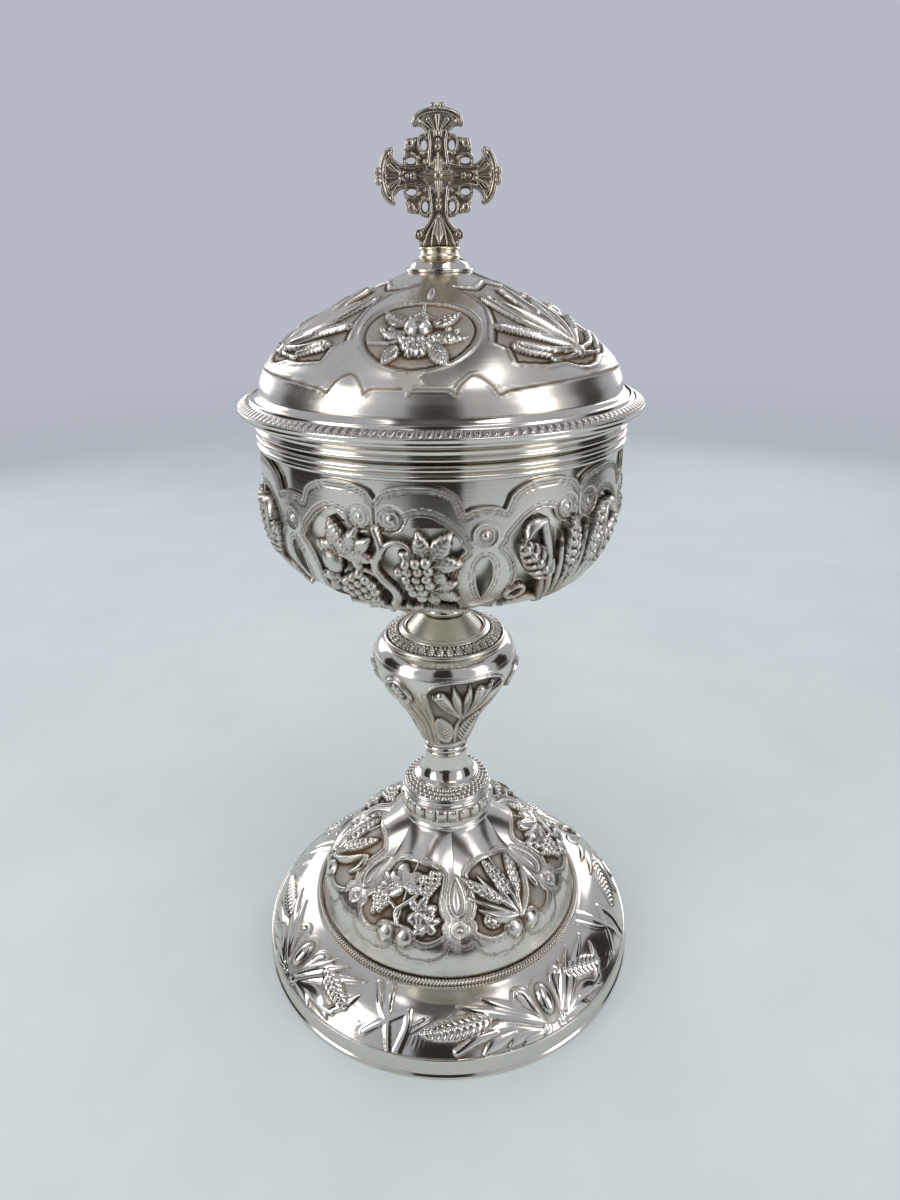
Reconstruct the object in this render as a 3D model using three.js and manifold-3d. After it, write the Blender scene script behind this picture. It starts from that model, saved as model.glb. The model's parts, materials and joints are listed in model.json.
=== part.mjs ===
// A silver ciborium: a covered cup for hosts on a spreading foot.
// Millimetres, +Z up. The foot's lower edge stands at z = 0 and the axis is the Z axis.
// The front faces -Y, and azimuths are counted from the front towards +X.
import * as THREE from "three";
import { mergeVertices } from "three/addons/utils/BufferGeometryUtils.js";
import Module from "manifold-3d";

const wasm = await Module();
wasm.setup();

// Driving dimensions, foot
const footRadius = 70;
const footBandHeight = 7.8;
const footBandTaper = 0.7;
const footLipWidth = 4;
const footLipThickness = 1;
const footBeadHeight = 1.6;
const skirtInset = 0.7;
const skirtRise = 11.4;
const skirtSeatWidth = 5.4;
const milledWireDiameter = 2.1;
const wireOpenAngle = 230;
const domeRadius = 48.5;
const domeRise = 36.7;
const domePlinth = 2.3;
const domeBulge = 5.4;
const lobeCount = 6;
const lobeAzimuth = 35;
const lobeMotifReach = 24;
const lobeMotifRise = 2.2;
const lobeMotifUpShare = 0.222;
const neckRadius = 15.4;

// Driving dimensions, stem
const tieRodRadius = 3;
const tieNutAcross = 11;
const tieNutHeight = 5;
const washerRadius = 9;
const washerThickness = 1.4;
const threadEnd = 2;
const collarFilletRadius = 16.4;
const collarFilletHeight = 3.4;
const gadroonRadius = 16.7;
const gadroonHeight = 5.6;
const gadroonCount = 24;
const gadroonDepth = 0.8;
const collarDomeRadius = 15.8;
const collarCavettoHeight = 2.2;
const collarBandHeight = 3.6;
const collarDomeHeight = 11.9;
const spoolRadius = 7.3;
const spoolRingRadius = 7.9;
const spoolRingHeight = 2.4;
const knopSeatHeight = 1;
const knopSeatRadius = 7.2;
const knopFootRadius = 7.9;
const knopRadius = 24.4;
const knopBellHeight = 33.7;
const knopBandHeight = 3.1;
const knopRidgeInset = 0.6;
const knopShoulderHeight = 3.7;
const knopShoulderRadius = 20.6;
const knopSeamWidth = 1.6;
const friezeWireRadius = 0.8;
const friezeWireTurn = 60;
const friezeUpperTurn = 150;
const friezeRise = 4.2;
const friezeInnerRadius = 13.8;
const capRise = 8.9;
const capTopRadius = 7.7;
const upperNeckHeight = 9.8;
const upperNeckRingHeight = 3.3;
const upperNeckRadius = 6.3;
const upperNeckFlare = 2.4;
const plateThickness = 1.2;

// Driving dimensions, bowl
const cupRadius = 53.2;
const cupWall = 1;
const cupFloorRadius = 9;
const cupDepth = 46.2;
const cupRound = 30;
const cupBossRadius = 8;
const cupBossHeight = 4.8;
const basketWall = 1;
const basketFloorRadius = 9;
const basketRimGap = 1;
const basketStraight = 13;
const basketArchDrop = 3.7;
const basketSaddleDrop = 6;
const basketSaddleHalfWidth = 5.2;
const dropTop = 19.4;
const dropLength = 14;
const dropHalfWidth = 2.5;
const panelCount = 6;
const pillarAzimuth = 11;
const rimWireHeight = 4;
const rimWireRadius = 0.9;

// Driving dimensions, lid
const lidLiftGap = 0.3;
const lidFitClearance = 0.35;
const bezelDepth = 9;
const bezelHeight = 14;
const bezelWall = 1;
const flangeJointStep = 0.9;
const flangeOverhang = 6.5;
const flangeShelf = 6.3;
const flangeRise = 6.8;
const flangeEdgeHeight = 1;
const flangeTopRise = 3;
const lidRise = 30.9;
const lidCrownRadius = 9.5;
const lidMotifRise = 2.4;
const medallionCount = 3;
const medallionAzimuth = -9;
const medallionReach = 13.6;
const medallionUpShare = 0.457;
const starReach = 20;
const starUpShare = 0.549;
const starFootShare = 0.7;
const starLongShare = 1.28;
const starShortShare = 0.88;
const starReedShare = 0.2;
const lidCapHeight = 3.5;
const lidCapEdge = 1.2;
const lidCapTopRadius = 6.1;
const crossCollarRadius = 5.8;
const crossCollarHeight = 3.1;
const crossHeight = 34.2;
const crossHalfSpan = 16.9;
const crossThickness = 3.4;
const crossBevel = 0.4;
const crossArmHalf = 2.4;
const crossTipHalf = 6.4;
const crossScrollHalf = 6.8;
const crossFootHalf = 5.4;
const crossPlateReach = 9.5;
const crossPlateCorner = 8.3;
const crossPlateHole = [3.7, 6.7];
const crossPlateHoleRadii = [0.7, 1.15];
const crossStarReach = 6;
const crossStarHalf = 1.3;
const crossStarRise = 1.2;
const crossBossRadius = 2;
const crossBeadRadius = 1.1;
const crossBeadReach = 7.3;
const crossBallRadius = 1.7;
const crossBallReach = 10.8;
const crossRibReach = 12;
const crossRibLength = 5;
const crossRibSpread = 26;
const crossStudRadius = 2;
const crossNutAcross = 8;
const crossNutHeight = 3.2;
const crossWasherRadius = 6;

// Sheet, seats and fits
const sheetWall = 1.2;
const seatGap = 0.3;
const cutTolerance = 0.05;
const ornamentRootShare = 0.75;
const rodHole = tieRodRadius + seatGap;
const studHole = crossStudRadius + seatGap;

// Faces round a full turn
const largeSegments = 32;
const smallSegments = 20;
const lobedSegments = 36;

// Heights, stacked from the table upwards
const skirtBottomZ = footBandHeight;
const skirtTopZ = skirtBottomZ + skirtRise;
const neckTopZ = skirtTopZ + domeRise;
const gadroonZ = neckTopZ + collarFilletHeight;
const collarDomeZ = gadroonZ + gadroonHeight;
const collarBandZ = collarDomeZ + collarCavettoHeight;
const collarShoulderZ = collarBandZ + collarBandHeight;
const spoolRingZ = collarShoulderZ + collarDomeHeight;
const knopSeatZ = spoolRingZ + spoolRingHeight;
const knopBottomZ = knopSeatZ + knopSeatHeight;
const knopBandZ = knopBottomZ + knopBellHeight;
const knopRidgeZ = knopBandZ + knopBandHeight;
const knopShoulderZ = knopRidgeZ + knopShoulderHeight;
const capTopZ = knopShoulderZ + capRise;
const plateZ = capTopZ + upperNeckHeight;
const basketZ = plateZ + plateThickness;
const cupBossZ = basketZ + basketWall;
const cupFloorZ = cupBossZ + cupBossHeight;
const cupTopZ = cupFloorZ + cupDepth;
const basketTopZ = cupTopZ - rimWireHeight - basketRimGap;
const flangeZ = cupTopZ + lidLiftGap;
const flangeEdgeZ = flangeZ + flangeRise;
const lidZ = flangeEdgeZ + flangeEdgeHeight + flangeTopRise;
const lidTopZ = lidZ + lidRise;
const crossCollarZ = lidTopZ + lidCapHeight;
const crossZ = crossCollarZ + crossCollarHeight;
const crossCentreZ = crossZ + crossHeight - crossHalfSpan;

// Fits that follow from the sizes above
const basketRadius = cupRadius + seatGap + basketWall;
const cupInnerRadius = cupRadius - cupWall;
const bezelRadius = cupInnerRadius - lidFitClearance;
const flangeJointRadius = cupRadius + flangeJointStep;
const flangeRadius = cupRadius + flangeOverhang;
const lidRadius = flangeRadius - flangeShelf;
const skirtTopRadius = domeRadius + milledWireDiameter + 3 * seatGap;

const silver = { color: 0xb9b6ad, roughness: 0.22, metalness: 1 };
const chasedSilver = { color: 0x9a948a, roughness: 0.36, metalness: 1 };
const oxidisedSilver = { color: 0x6f675c, roughness: 0.42, metalness: 1 };
const giltSilver = { color: 0xc9a860, roughness: 0.28, metalness: 1 };
const steel = { color: 0x8a8c8e, roughness: 0.45, metalness: 1 };

const at = (r, z) => new THREE.Vector2(r, z);
const radians = THREE.MathUtils.degToRad;
const mix = THREE.MathUtils.lerp;

// A smooth line from start to end. Each stop is a share of the way across and a share up.
function smooth(start, end, stops) {
  const between = stops.map(([across, up]) => at(mix(start.x, end.x, across), mix(start.y, end.y, up)));
  return new THREE.SplineCurve([start, ...between, end]);
}

function bend(start, end, stops, divisions) {
  return smooth(start, end, stops).getPoints(divisions);
}

// The same line moved sideways by a distance, to the left of its direction.
function offset(points, distance) {
  return points.map((point, i) => {
    const before = points[Math.max(i - 1, 0)];
    const after = points[Math.min(i + 1, points.length - 1)];
    const along = after.clone().sub(before).normalize();
    return at(point.x - along.y * distance, point.y + along.x * distance);
  });
}

// Points on a round bead, from one angle to another, in degrees from the +radius direction.
function bead(centre, radius, from, to, divisions) {
  const arc = new THREE.Path().absarc(centre.x, centre.y, radius, radians(from), radians(to), to < from);
  return arc.getPoints(divisions);
}

// Leaves only positions, joins what coincides and drops faces without area.
function welded(geometry) {
  geometry.deleteAttribute("normal");
  geometry.deleteAttribute("uv");
  const merged = mergeVertices(geometry, 1e-4);
  const index = merged.index.array;
  const kept = [];
  for (let i = 0; i < index.length; i += 3) {
    const [a, b, c] = [index[i], index[i + 1], index[i + 2]];
    if (a !== b && b !== c && c !== a) kept.push(a, b, c);
  }
  merged.setIndex(kept);
  merged.computeVertexNormals();
  return merged;
}

// A ring or a hollow piece: its outline runs anticlockwise and closes on itself.
function turned(outline, segments) {
  const geometry = new THREE.LatheGeometry([...outline, outline[0]], segments);
  geometry.rotateX(Math.PI / 2);
  return welded(geometry);
}

// A piece that is solid at the axis: its outline starts and ends there.
function turnedSolid(outline, segments) {
  const geometry = new THREE.LatheGeometry(outline, segments);
  geometry.rotateX(Math.PI / 2);
  return welded(geometry);
}

function solidOf(geometry) {
  const clean = geometry.index ? geometry : welded(geometry);
  return new wasm.Manifold(new wasm.Mesh({
    numProp: 3,
    vertProperties: new Float32Array(clean.attributes.position.array),
    triVerts: new Uint32Array(clean.index.array),
  }));
}

function geometryOf(solid) {
  const mesh = solid.asOriginal().simplify(cutTolerance).getMesh();
  const geometry = new THREE.BufferGeometry();
  geometry.setAttribute("position", new THREE.BufferAttribute(new Float32Array(mesh.vertProperties), 3));
  geometry.setIndex(Array.from(mesh.triVerts));
  geometry.computeVertexNormals();
  return geometry;
}

function joined(geometries) {
  return geometryOf(geometries.map(solidOf).reduce((whole, piece) => whole.add(piece)));
}

function cutBy(geometry, cutters) {
  return geometryOf(cutters.map(solidOf).reduce((rest, cutter) => rest.subtract(cutter), solidOf(geometry)));
}

// A form laid on a turned surface, from one place to another on it, with its root in the sheet.
// Places are across and up in millimetres, and put gives the point there at a height.
function laid(form, put, from, to, width, rise) {
  const start = at(...from);
  const middle = at(...to).add(start).multiplyScalar(0.5);
  const ahead = at(...to).sub(start).multiplyScalar(0.5);
  const side = at(ahead.y, -ahead.x).setLength(width / 2);
  const position = form.attributes.position;
  for (let i = 0; i < position.count; i++) {
    const [x, y, z] = [position.getX(i), position.getY(i), position.getZ(i)];
    const place = middle.clone().addScaledVector(side, x).addScaledVector(ahead, y);
    const point = put(place.x, place.y, z > 0 ? z * rise : z * ornamentRootShare * sheetWall);
    position.setXYZ(i, point.x, point.y, point.z);
  }
  return welded(form);
}

// A motif is a list of leaves and berries, in shares of its reach from its own middle.
function motif(forms, put, reach, rise) {
  return forms.map(({ from, to, width, high = 1, round = false }) => {
    const form = round ? new THREE.IcosahedronGeometry(1) : new THREE.OctahedronGeometry(1);
    const [start, end] = [from, to].map((place) => place.map((share) => share * reach));
    return laid(form, put, start, end, width * reach, high * rise);
  });
}

// A point on a turned surface: its line, an azimuth, a distance up the line and a height.
function onTurned(line, azimuth, up, height) {
  const share = THREE.MathUtils.clamp(up / line.getLength(), 0, 1);
  const point = line.getPointAt(share);
  const along = line.getTangentAt(share);
  const r = point.x + along.y * height;
  return new THREE.Vector3(r * Math.sin(azimuth), -r * Math.cos(azimuth), point.y - along.x * height);
}

// Places counted from a spot on the surface, across and up.
function around(line, azimuth, level) {
  const start = level * line.getLength();
  return (across, up, height) => {
    const radius = -onTurned(line, 0, start + up, 0).y;
    return onTurned(line, azimuth + across / radius, start + up, height);
  };
}

const group = new THREE.Group();

function place(name, geometry, finish) {
  const mesh = new THREE.Mesh(geometry, new THREE.MeshStandardMaterial(finish));
  mesh.name = name;
  group.add(mesh);
}

// A flat washer with the rod through it.
function washer(outer, inner, bottom, top) {
  return turned([at(inner, bottom), at(outer, bottom), at(outer, top), at(inner, top)], smallSegments);
}

// A six-sided nut with a round hole.
function hexNut(across, hole, bottom, height) {
  const corner = across / Math.sqrt(3);
  const shape = new THREE.Shape();
  for (let i = 0; i < 6; i++) {
    const angle = radians(60 * i);
    if (i === 0) shape.moveTo(corner, 0);
    else shape.lineTo(corner * Math.cos(angle), corner * Math.sin(angle));
  }
  shape.holes.push(new THREE.Path().absarc(0, 0, hole, 0, 2 * Math.PI, true));
  const geometry = new THREE.ExtrudeGeometry(shape, { depth: height, bevelEnabled: false, curveSegments: 8 });
  geometry.translate(0, 0, bottom);
  return welded(geometry);
}

function rod(radius, bottom, top) {
  return turnedSolid([at(0, bottom), at(radius, bottom), at(radius, top), at(0, top)], smallSegments / 2);
}

// The plain band that the foot stands on, with a bead at the table and a lip turned inwards.
function footBand() {
  const top = footRadius - footBandTaper;
  return turned([
    at(footRadius - footLipWidth, 0),
    at(footRadius, 0),
    at(footRadius, footBeadHeight - footBandTaper),
    at(top, footBeadHeight),
    at(top, footBandHeight),
    at(top - sheetWall - skirtInset, footBandHeight),
    at(top - sheetWall - skirtInset, footLipThickness),
    at(footRadius - footLipWidth, footLipThickness),
  ], largeSegments);
}

// The rounded skirt between the band and the dome, ending in a flat seat for both.
function footSkirt() {
  const start = at(footRadius - footBandTaper - skirtInset, skirtBottomZ);
  const end = at(skirtTopRadius, skirtTopZ);
  const outer = bend(start, end, [[0.268, 0.447], [0.62, 0.8]], 4);
  const seat = at(skirtTopRadius - skirtSeatWidth, skirtTopZ);
  const inner = offset(outer, sheetWall).reverse();
  inner[inner.length - 1].y = skirtBottomZ;
  return turned([...outer, seat, at(seat.x, skirtTopZ - sheetWall), ...inner], largeSegments);
}

// The straight-grained wire in the corner between skirt and dome.
function milledWire() {
  const radius = milledWireDiameter / 2;
  const ringRadius = domeRadius + seatGap + radius;
  const section = bead(at(ringRadius, skirtTopZ + radius), radius, -90, wireOpenAngle, 3);
  return turned(section, largeSegments);
}

// How much a lobe of the dome stands out at an azimuth: 0 between two lobes, 1 on its middle.
function lobeShare(azimuth) {
  const turn = lobeCount * (azimuth - radians(lobeAzimuth));
  return Math.sqrt((1 + Math.cos(turn)) / 2);
}

// Moves a point of the dome outwards and up by the swelling of the lobes there.
function swollen(point) {
  const r = Math.hypot(point.x, point.y);
  const share = THREE.MathUtils.clamp((domeRadius - r) / (domeRadius - neckRadius), 0, 1);
  const swell = domeBulge * Math.sin(Math.PI * share ** 1.2) * lobeShare(Math.atan2(point.x, -point.y));
  const outward = swell * Math.SQRT1_2;
  const scale = 1 + outward / r;
  return new THREE.Vector3(point.x * scale, point.y * scale, point.z + outward);
}

// The main forms in a cartouche of the foot: ears and blades of wheat, or two bunches with leaves.
const wheatOnLobe = [
  { from: [-0.12, 0.26], to: [-0.46, 0.84], width: 0.20 },
  { from: [-0.02, 0.30], to: [-0.10, 0.96], width: 0.20 },
  { from: [0.08, 0.28], to: [0.22, 0.86], width: 0.20 },
  { from: [0.10, 0.12], to: [0.42, 0.70], width: 0.16, high: 0.7 },
  { from: [-0.10, 0.14], to: [-0.56, 0.40], width: 0.20, high: 0.7 },
  { from: [0.30, -0.16], to: [0.08, -0.02], width: 0.20, high: 0.6 },
  { from: [-0.30, -0.16], to: [-0.08, -0.02], width: 0.20, high: 0.6 },
];
const vineOnLobe = [
  { from: [-0.32, 0.66], to: [-0.42, 0.26], width: 0.34 },
  { from: [0.26, 1.02], to: [0.24, 0.60], width: 0.28 },
  { from: [-0.04, 0.62], to: [-0.22, 1.0], width: 0.28, high: 0.7 },
  { from: [0.14, 0.42], to: [0.46, 0.56], width: 0.24, high: 0.7 },
  { from: [0.0, 0.1], to: [0.04, 0.66], width: 0.10, high: 0.6 },
  { from: [0.30, -0.16], to: [0.08, -0.02], width: 0.20, high: 0.6 },
  { from: [-0.30, -0.16], to: [-0.08, -0.02], width: 0.20, high: 0.6 },
];

// The dome rises from the skirt to the neck and swells into lobes, one for each cartouche.
function footDome() {
  const start = at(domeRadius, skirtTopZ + domePlinth);
  const end = at(neckRadius, neckTopZ);
  const stops = [[0.136, 0.29], [0.438, 0.465], [0.77, 0.683], [0.967, 0.93]];
  const inner = offset(bend(start, end, stops, 5), sheetWall).reverse();
  inner[0] = at(neckRadius - sheetWall, neckTopZ - sheetWall);
  const geometry = turned([
    at(domeRadius - sheetWall, skirtTopZ),
    at(domeRadius, skirtTopZ),
    ...bend(start, end, stops, 10),
    at(rodHole, neckTopZ),
    at(rodHole, neckTopZ - sheetWall),
    ...inner,
  ], lobedSegments);
  geometry.rotateZ(radians(lobeAzimuth));
  const position = geometry.attributes.position;
  for (let i = 0; i < position.count; i++) {
    const point = swollen(new THREE.Vector3().fromBufferAttribute(position, i));
    position.setXYZ(i, point.x, point.y, point.z);
  }
  const line = smooth(start, end, stops);
  const relief = Array.from({ length: lobeCount }, (_, lobe) => {
    const put = around(line, radians(lobeAzimuth + (360 / lobeCount) * lobe), lobeMotifUpShare);
    const raised = (...place) => swollen(put(...place));
    return motif(lobe % 2 === 0 ? wheatOnLobe : vineOnLobe, raised, lobeMotifReach, lobeMotifRise);
  });
  return joined([geometry, ...relief.flat()]);
}

// The ring under the knop: a plain fillet that carries a ring of gadroons.
function collarRing() {
  const fillet = washer(collarFilletRadius, rodHole, neckTopZ, gadroonZ);
  const steps = 3;
  const shape = new THREE.Shape();
  for (let i = 0; i < gadroonCount * steps; i++) {
    const angle = (2 * Math.PI * i) / (gadroonCount * steps);
    const r = gadroonRadius - gadroonDepth * (1 - Math.abs(Math.sin((gadroonCount * angle) / 2)));
    if (i === 0) shape.moveTo(r, 0);
    else shape.lineTo(r * Math.cos(angle), r * Math.sin(angle));
  }
  shape.holes.push(new THREE.Path().absarc(0, 0, rodHole, 0, 2 * Math.PI, true));
  const roll = gadroonDepth;
  const gadroons = new THREE.ExtrudeGeometry(shape, {
    depth: gadroonHeight - 2 * roll,
    bevelThickness: roll,
    bevelSize: roll,
    bevelOffset: -roll,
    bevelSegments: 1,
    curveSegments: 6,
  });
  gadroons.translate(0, 0, gadroonZ + roll);
  return joined([fillet, welded(gadroons)]);
}

// The beaded dome above the gadroons, drawn up into a spool under the knop.
function collarDome() {
  const throat = at(collarDomeRadius - gadroonDepth, collarDomeZ + collarCavettoHeight / 2);
  const shoulder = at(collarDomeRadius - gadroonDepth / 2, collarShoulderZ);
  const spool = bend(shoulder, at(spoolRadius, spoolRingZ),
    [[0.19, 0.12], [0.42, 0.23], [0.71, 0.35], [0.94, 0.62]], 7);
  return turned([
    at(rodHole, collarDomeZ),
    at(collarDomeRadius, collarDomeZ),
    throat,
    at(collarDomeRadius, collarBandZ),
    ...spool,
    at(rodHole, spoolRingZ),
  ], smallSegments);
}

// The bright bead on top of the spool.
function spoolRing() {
  const middle = spoolRingZ + spoolRingHeight / 2;
  const curve = bead(at(spoolRingRadius - spoolRingHeight / 2, middle), spoolRingHeight / 2, -90, 90, 2);
  return turned([at(rodHole, spoolRingZ), ...curve, at(rodHole, knopSeatZ)], smallSegments);
}

// The lower shell of the knop, an inverted bell that is open at the top.
function knopLower() {
  const foot = at(knopFootRadius, knopBottomZ);
  const widest = at(knopRadius, knopBandZ);
  const stops = [[0.131, 0.154], [0.29, 0.347], [0.5, 0.51], [0.786, 0.718], [0.976, 0.911]];
  const ridge = at(knopRadius - knopRidgeInset, knopRidgeZ);
  const outer = [...bend(foot, widest, stops, 7), ridge];
  const inner = offset([...bend(foot, widest, stops, 4), ridge], sheetWall).reverse();
  inner[0].y = knopRidgeZ;
  inner[inner.length - 1] = at(knopFootRadius - sheetWall, knopBottomZ + sheetWall);
  return turned([
    at(rodHole, knopBottomZ),
    ...outer,
    ...inner,
    at(rodHole, knopBottomZ + sheetWall),
  ], smallSegments);
}

// The polished shoulder that closes the knop, with a flat seat for the frieze.
function knopUpper() {
  const rim = knopRadius - knopRidgeInset;
  return turned([
    at(rim - sheetWall - knopSeamWidth, knopRidgeZ),
    ...bend(at(rim, knopRidgeZ), at(knopShoulderRadius, knopShoulderZ), [[0.4, 0.6]], 3),
    at(rodHole, knopShoulderZ),
    at(rodHole, knopShoulderZ - sheetWall),
    at(knopShoulderRadius - sheetWall, knopShoulderZ - sheetWall),
  ], smallSegments);
}

// The frieze on the shoulder: a sloping band between a lower and an upper wire.
function knopFrieze() {
  const lower = at(knopShoulderRadius - friezeWireRadius, knopShoulderZ + friezeWireRadius);
  const upper = at(friezeInnerRadius, knopShoulderZ + friezeRise - friezeWireRadius);
  const bore = friezeInnerRadius - friezeWireRadius;
  return turned([
    at(bore, knopShoulderZ),
    at(lower.x, knopShoulderZ),
    ...bead(lower, friezeWireRadius, -friezeWireTurn, 2 * friezeWireTurn, 2),
    ...bead(upper, friezeWireRadius, 0, friezeUpperTurn, 2),
    at(bore, upper.y),
  ], smallSegments);
}

// The brushed cone inside the frieze, hollow underneath.
function knopCap() {
  const foot = friezeInnerRadius - friezeWireRadius - seatGap;
  const brimZ = knopShoulderZ + friezeRise - friezeWireRadius;
  return turned([
    at(foot - sheetWall, knopShoulderZ),
    at(foot, knopShoulderZ),
    at(foot, brimZ),
    at(capTopRadius, capTopZ),
    at(rodHole, capTopZ),
    at(rodHole, capTopZ - sheetWall),
    at(capTopRadius - sheetWall, capTopZ - sheetWall),
    at(foot - sheetWall, brimZ - sheetWall),
  ], smallSegments);
}

// The short neck under the bowl: a bright ring, a narrow throat and a flare.
function upperNeck() {
  const ring = bead(at(capTopRadius - upperNeckRingHeight / 2, capTopZ + upperNeckRingHeight / 2),
    upperNeckRingHeight / 2, -80, 80, 2);
  return turned([
    at(rodHole, capTopZ),
    at(capTopRadius - upperNeckRingHeight / 2, capTopZ),
    ...ring,
    at(upperNeckRadius, capTopZ + upperNeckRingHeight),
    at(upperNeckRadius, plateZ - upperNeckFlare),
    at(cupBossRadius - seatGap, plateZ),
    at(rodHole, plateZ),
  ], smallSegments);
}

// The line of the basket's outside: straight under the rim, then round to the flat bottom.
// It is measured along its length, down from the level of the arch tops.
function bowlLine() {
  const straightEnd = at(basketRadius, basketTopZ - basketStraight);
  const drop = straightEnd.y - basketZ;
  const line = new THREE.CurvePath();
  line.add(new THREE.LineCurve(at(basketRadius, basketTopZ), straightEnd));
  line.add(new THREE.CubicBezierCurve(
    straightEnd,
    at(basketRadius + 0.02 * drop, basketZ + 0.18 * drop),
    at(mix(basketFloorRadius, basketRadius, 0.53), basketZ + 0.13 * drop),
    at(basketFloorRadius, basketZ),
  ));
  return line;
}

const basketLine = bowlLine();
const basketLength = basketLine.getLength();
const panelHalfWidth = (Math.PI * basketRadius) / panelCount;

// A point on the basket: azimuth, depth along the line, and height off its outer face.
// A negative depth is above the arch tops.
function onBasket(azimuth, depth, height) {
  const share = THREE.MathUtils.clamp(depth / basketLength, 0, 1);
  const point = basketLine.getPointAt(share);
  const along = basketLine.getTangentAt(share);
  const r = point.x - along.y * height;
  const z = point.y + along.x * height + Math.max(0, -depth);
  return new THREE.Vector3(r * Math.sin(azimuth), -r * Math.cos(azimuth), z);
}

// The sheet that is cut away over a panel. The edge left has two arches to a panel,
// with a cusp between them and a saddle over each pillar.
function archCut() {
  const saddleEdge = panelHalfWidth - basketSaddleHalfWidth;
  const crown = saddleEdge / 2;
  const arch = [-1, -0.84, -0.42, 0, 0.42, 0.84, 1].map((share) => {
    const drop = share < 0 ? basketArchDrop : basketSaddleDrop;
    return [crown * (1 + share), drop * (1 - Math.sqrt(1 - Math.abs(share) ** 2.2)) + 0.01];
  });
  const half = [...arch, [panelHalfWidth, basketSaddleDrop]];
  const mirrored = half.slice(1).map(([across, depth]) => [-across, depth]);
  const edge = [...mirrored.reverse(), ...half];
  return [...edge, ...edge.toReversed().map(([across]) => [across, -basketWall])];
}

// The panel's own shape cut through the wall: points across and down, wrapped on the bowl.
function basketCutter(points, middleAzimuth) {
  const flat = points.map(([across, depth]) => new THREE.Vector2(across, depth));
  if (THREE.ShapeUtils.isClockWise(flat)) flat.reverse();
  const faces = THREE.ShapeUtils.triangulateShape(flat, []);
  const reach = 3 * basketWall;
  const vertices = [reach, -reach].flatMap((height) => flat.flatMap((point) =>
    onBasket(middleAzimuth + point.x / basketRadius, point.y, height).toArray()));
  const n = flat.length;
  const index = faces.flatMap(([a, b, c]) => [a, c, b, a + n, b + n, c + n]);
  for (let i = 0; i < n; i++) {
    const next = (i + 1) % n;
    index.push(i, next, next + n, i, next + n, i + n);
  }
  const geometry = new THREE.BufferGeometry();
  geometry.setAttribute("position", new THREE.Float32BufferAttribute(vertices, 3));
  geometry.setIndex(index);
  return geometry;
}

// A pointed slit from one end to the other, bowed sideways: two arcs on a common chord.
function slit({ from, to, width, bow = 0 }, side) {
  const start = at(from[0] * panelHalfWidth, from[1] * basketLength);
  const end = at(to[0] * panelHalfWidth, to[1] * basketLength);
  const along = end.clone().sub(start).normalize();
  const point = (share, half) => {
    const across = (bow + (half * width) / 2) * panelHalfWidth * Math.sin(Math.PI * share);
    const middle = start.clone().lerp(end, share);
    return [side * (middle.x + along.y * across), middle.y - along.x * across];
  };
  const shares = [0.28, 0.72];
  const out = shares.map((share) => point(share, 1));
  const back = shares.toReversed().map((share) => point(share, -1));
  return [point(0, 0), ...out, point(1, 0), ...back];
}

// The drop-shaped hole in each pillar, round above and pointed below.
function dropHole() {
  const steps = 7;
  return Array.from({ length: steps }, (_, i) => {
    const turn = (2 * Math.PI * i) / steps;
    const half = 1.3 * dropHalfWidth * Math.sin(turn) * Math.sin(turn / 2);
    return [half, dropTop + (dropLength * (1 + Math.cos(turn))) / 2];
  });
}

// The openings in half a panel. Their ends are shares of the panel's half width and of the
// length of the bowl's line; width and bow are shares of the half width. Vine and wheat take turns.
const archSlit = { from: [0.29, 0.13], to: [0.71, 0.21], width: 0.154, bow: 0.126 };
const vineSlits = [
  archSlit,
  { from: [0.11, 0.18], to: [0.15, 0.29], width: 0.098 },
  { from: [0.36, 0.18], to: [0.30, 0.25], width: 0.077 },
  { from: [0.71, 0.26], to: [0.64, 0.36], width: 0.063 },
  { from: [0.11, 0.36], to: [0.33, 0.41], width: 0.091 },
  { from: [0.48, 0.45], to: [0.78, 0.44], width: 0.091 },
];
const wheatSlits = [
  archSlit,
  { from: [0.08, 0.39], to: [0.13, 0.18], width: 0.070 },
  { from: [0.20, 0.38], to: [0.36, 0.20], width: 0.084 },
  { from: [0.34, 0.39], to: [0.58, 0.25], width: 0.084 },
  { from: [0.71, 0.26], to: [0.60, 0.38], width: 0.070 },
  { from: [0.34, 0.45], to: [0.70, 0.45], width: 0.091 },
];

// The openwork basket round the cup, cut from one bowl of sheet.
function basket() {
  const outer = basketLine.getSpacedPoints(7).reverse();
  const inner = offset(outer, basketWall).reverse();
  inner[inner.length - 1].y = cupBossZ;
  const shell = turned([
    at(rodHole, basketZ),
    ...outer,
    ...inner,
    at(rodHole, cupBossZ),
  ], lobedSegments);
  shell.rotateZ(radians(pillarAzimuth));
  const cutters = [];
  for (let panel = 0; panel < panelCount; panel++) {
    const pillar = radians(pillarAzimuth + (360 / panelCount) * panel);
    const middle = pillar + Math.PI / panelCount;
    cutters.push(basketCutter(dropHole(), pillar), basketCutter(archCut(), middle));
    for (const shape of panel % 2 === 0 ? wheatSlits : vineSlits) {
      cutters.push(basketCutter(slit(shape, 1), middle), basketCutter(slit(shape, -1), middle));
    }
  }
  return cutBy(shell, cutters);
}

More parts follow.
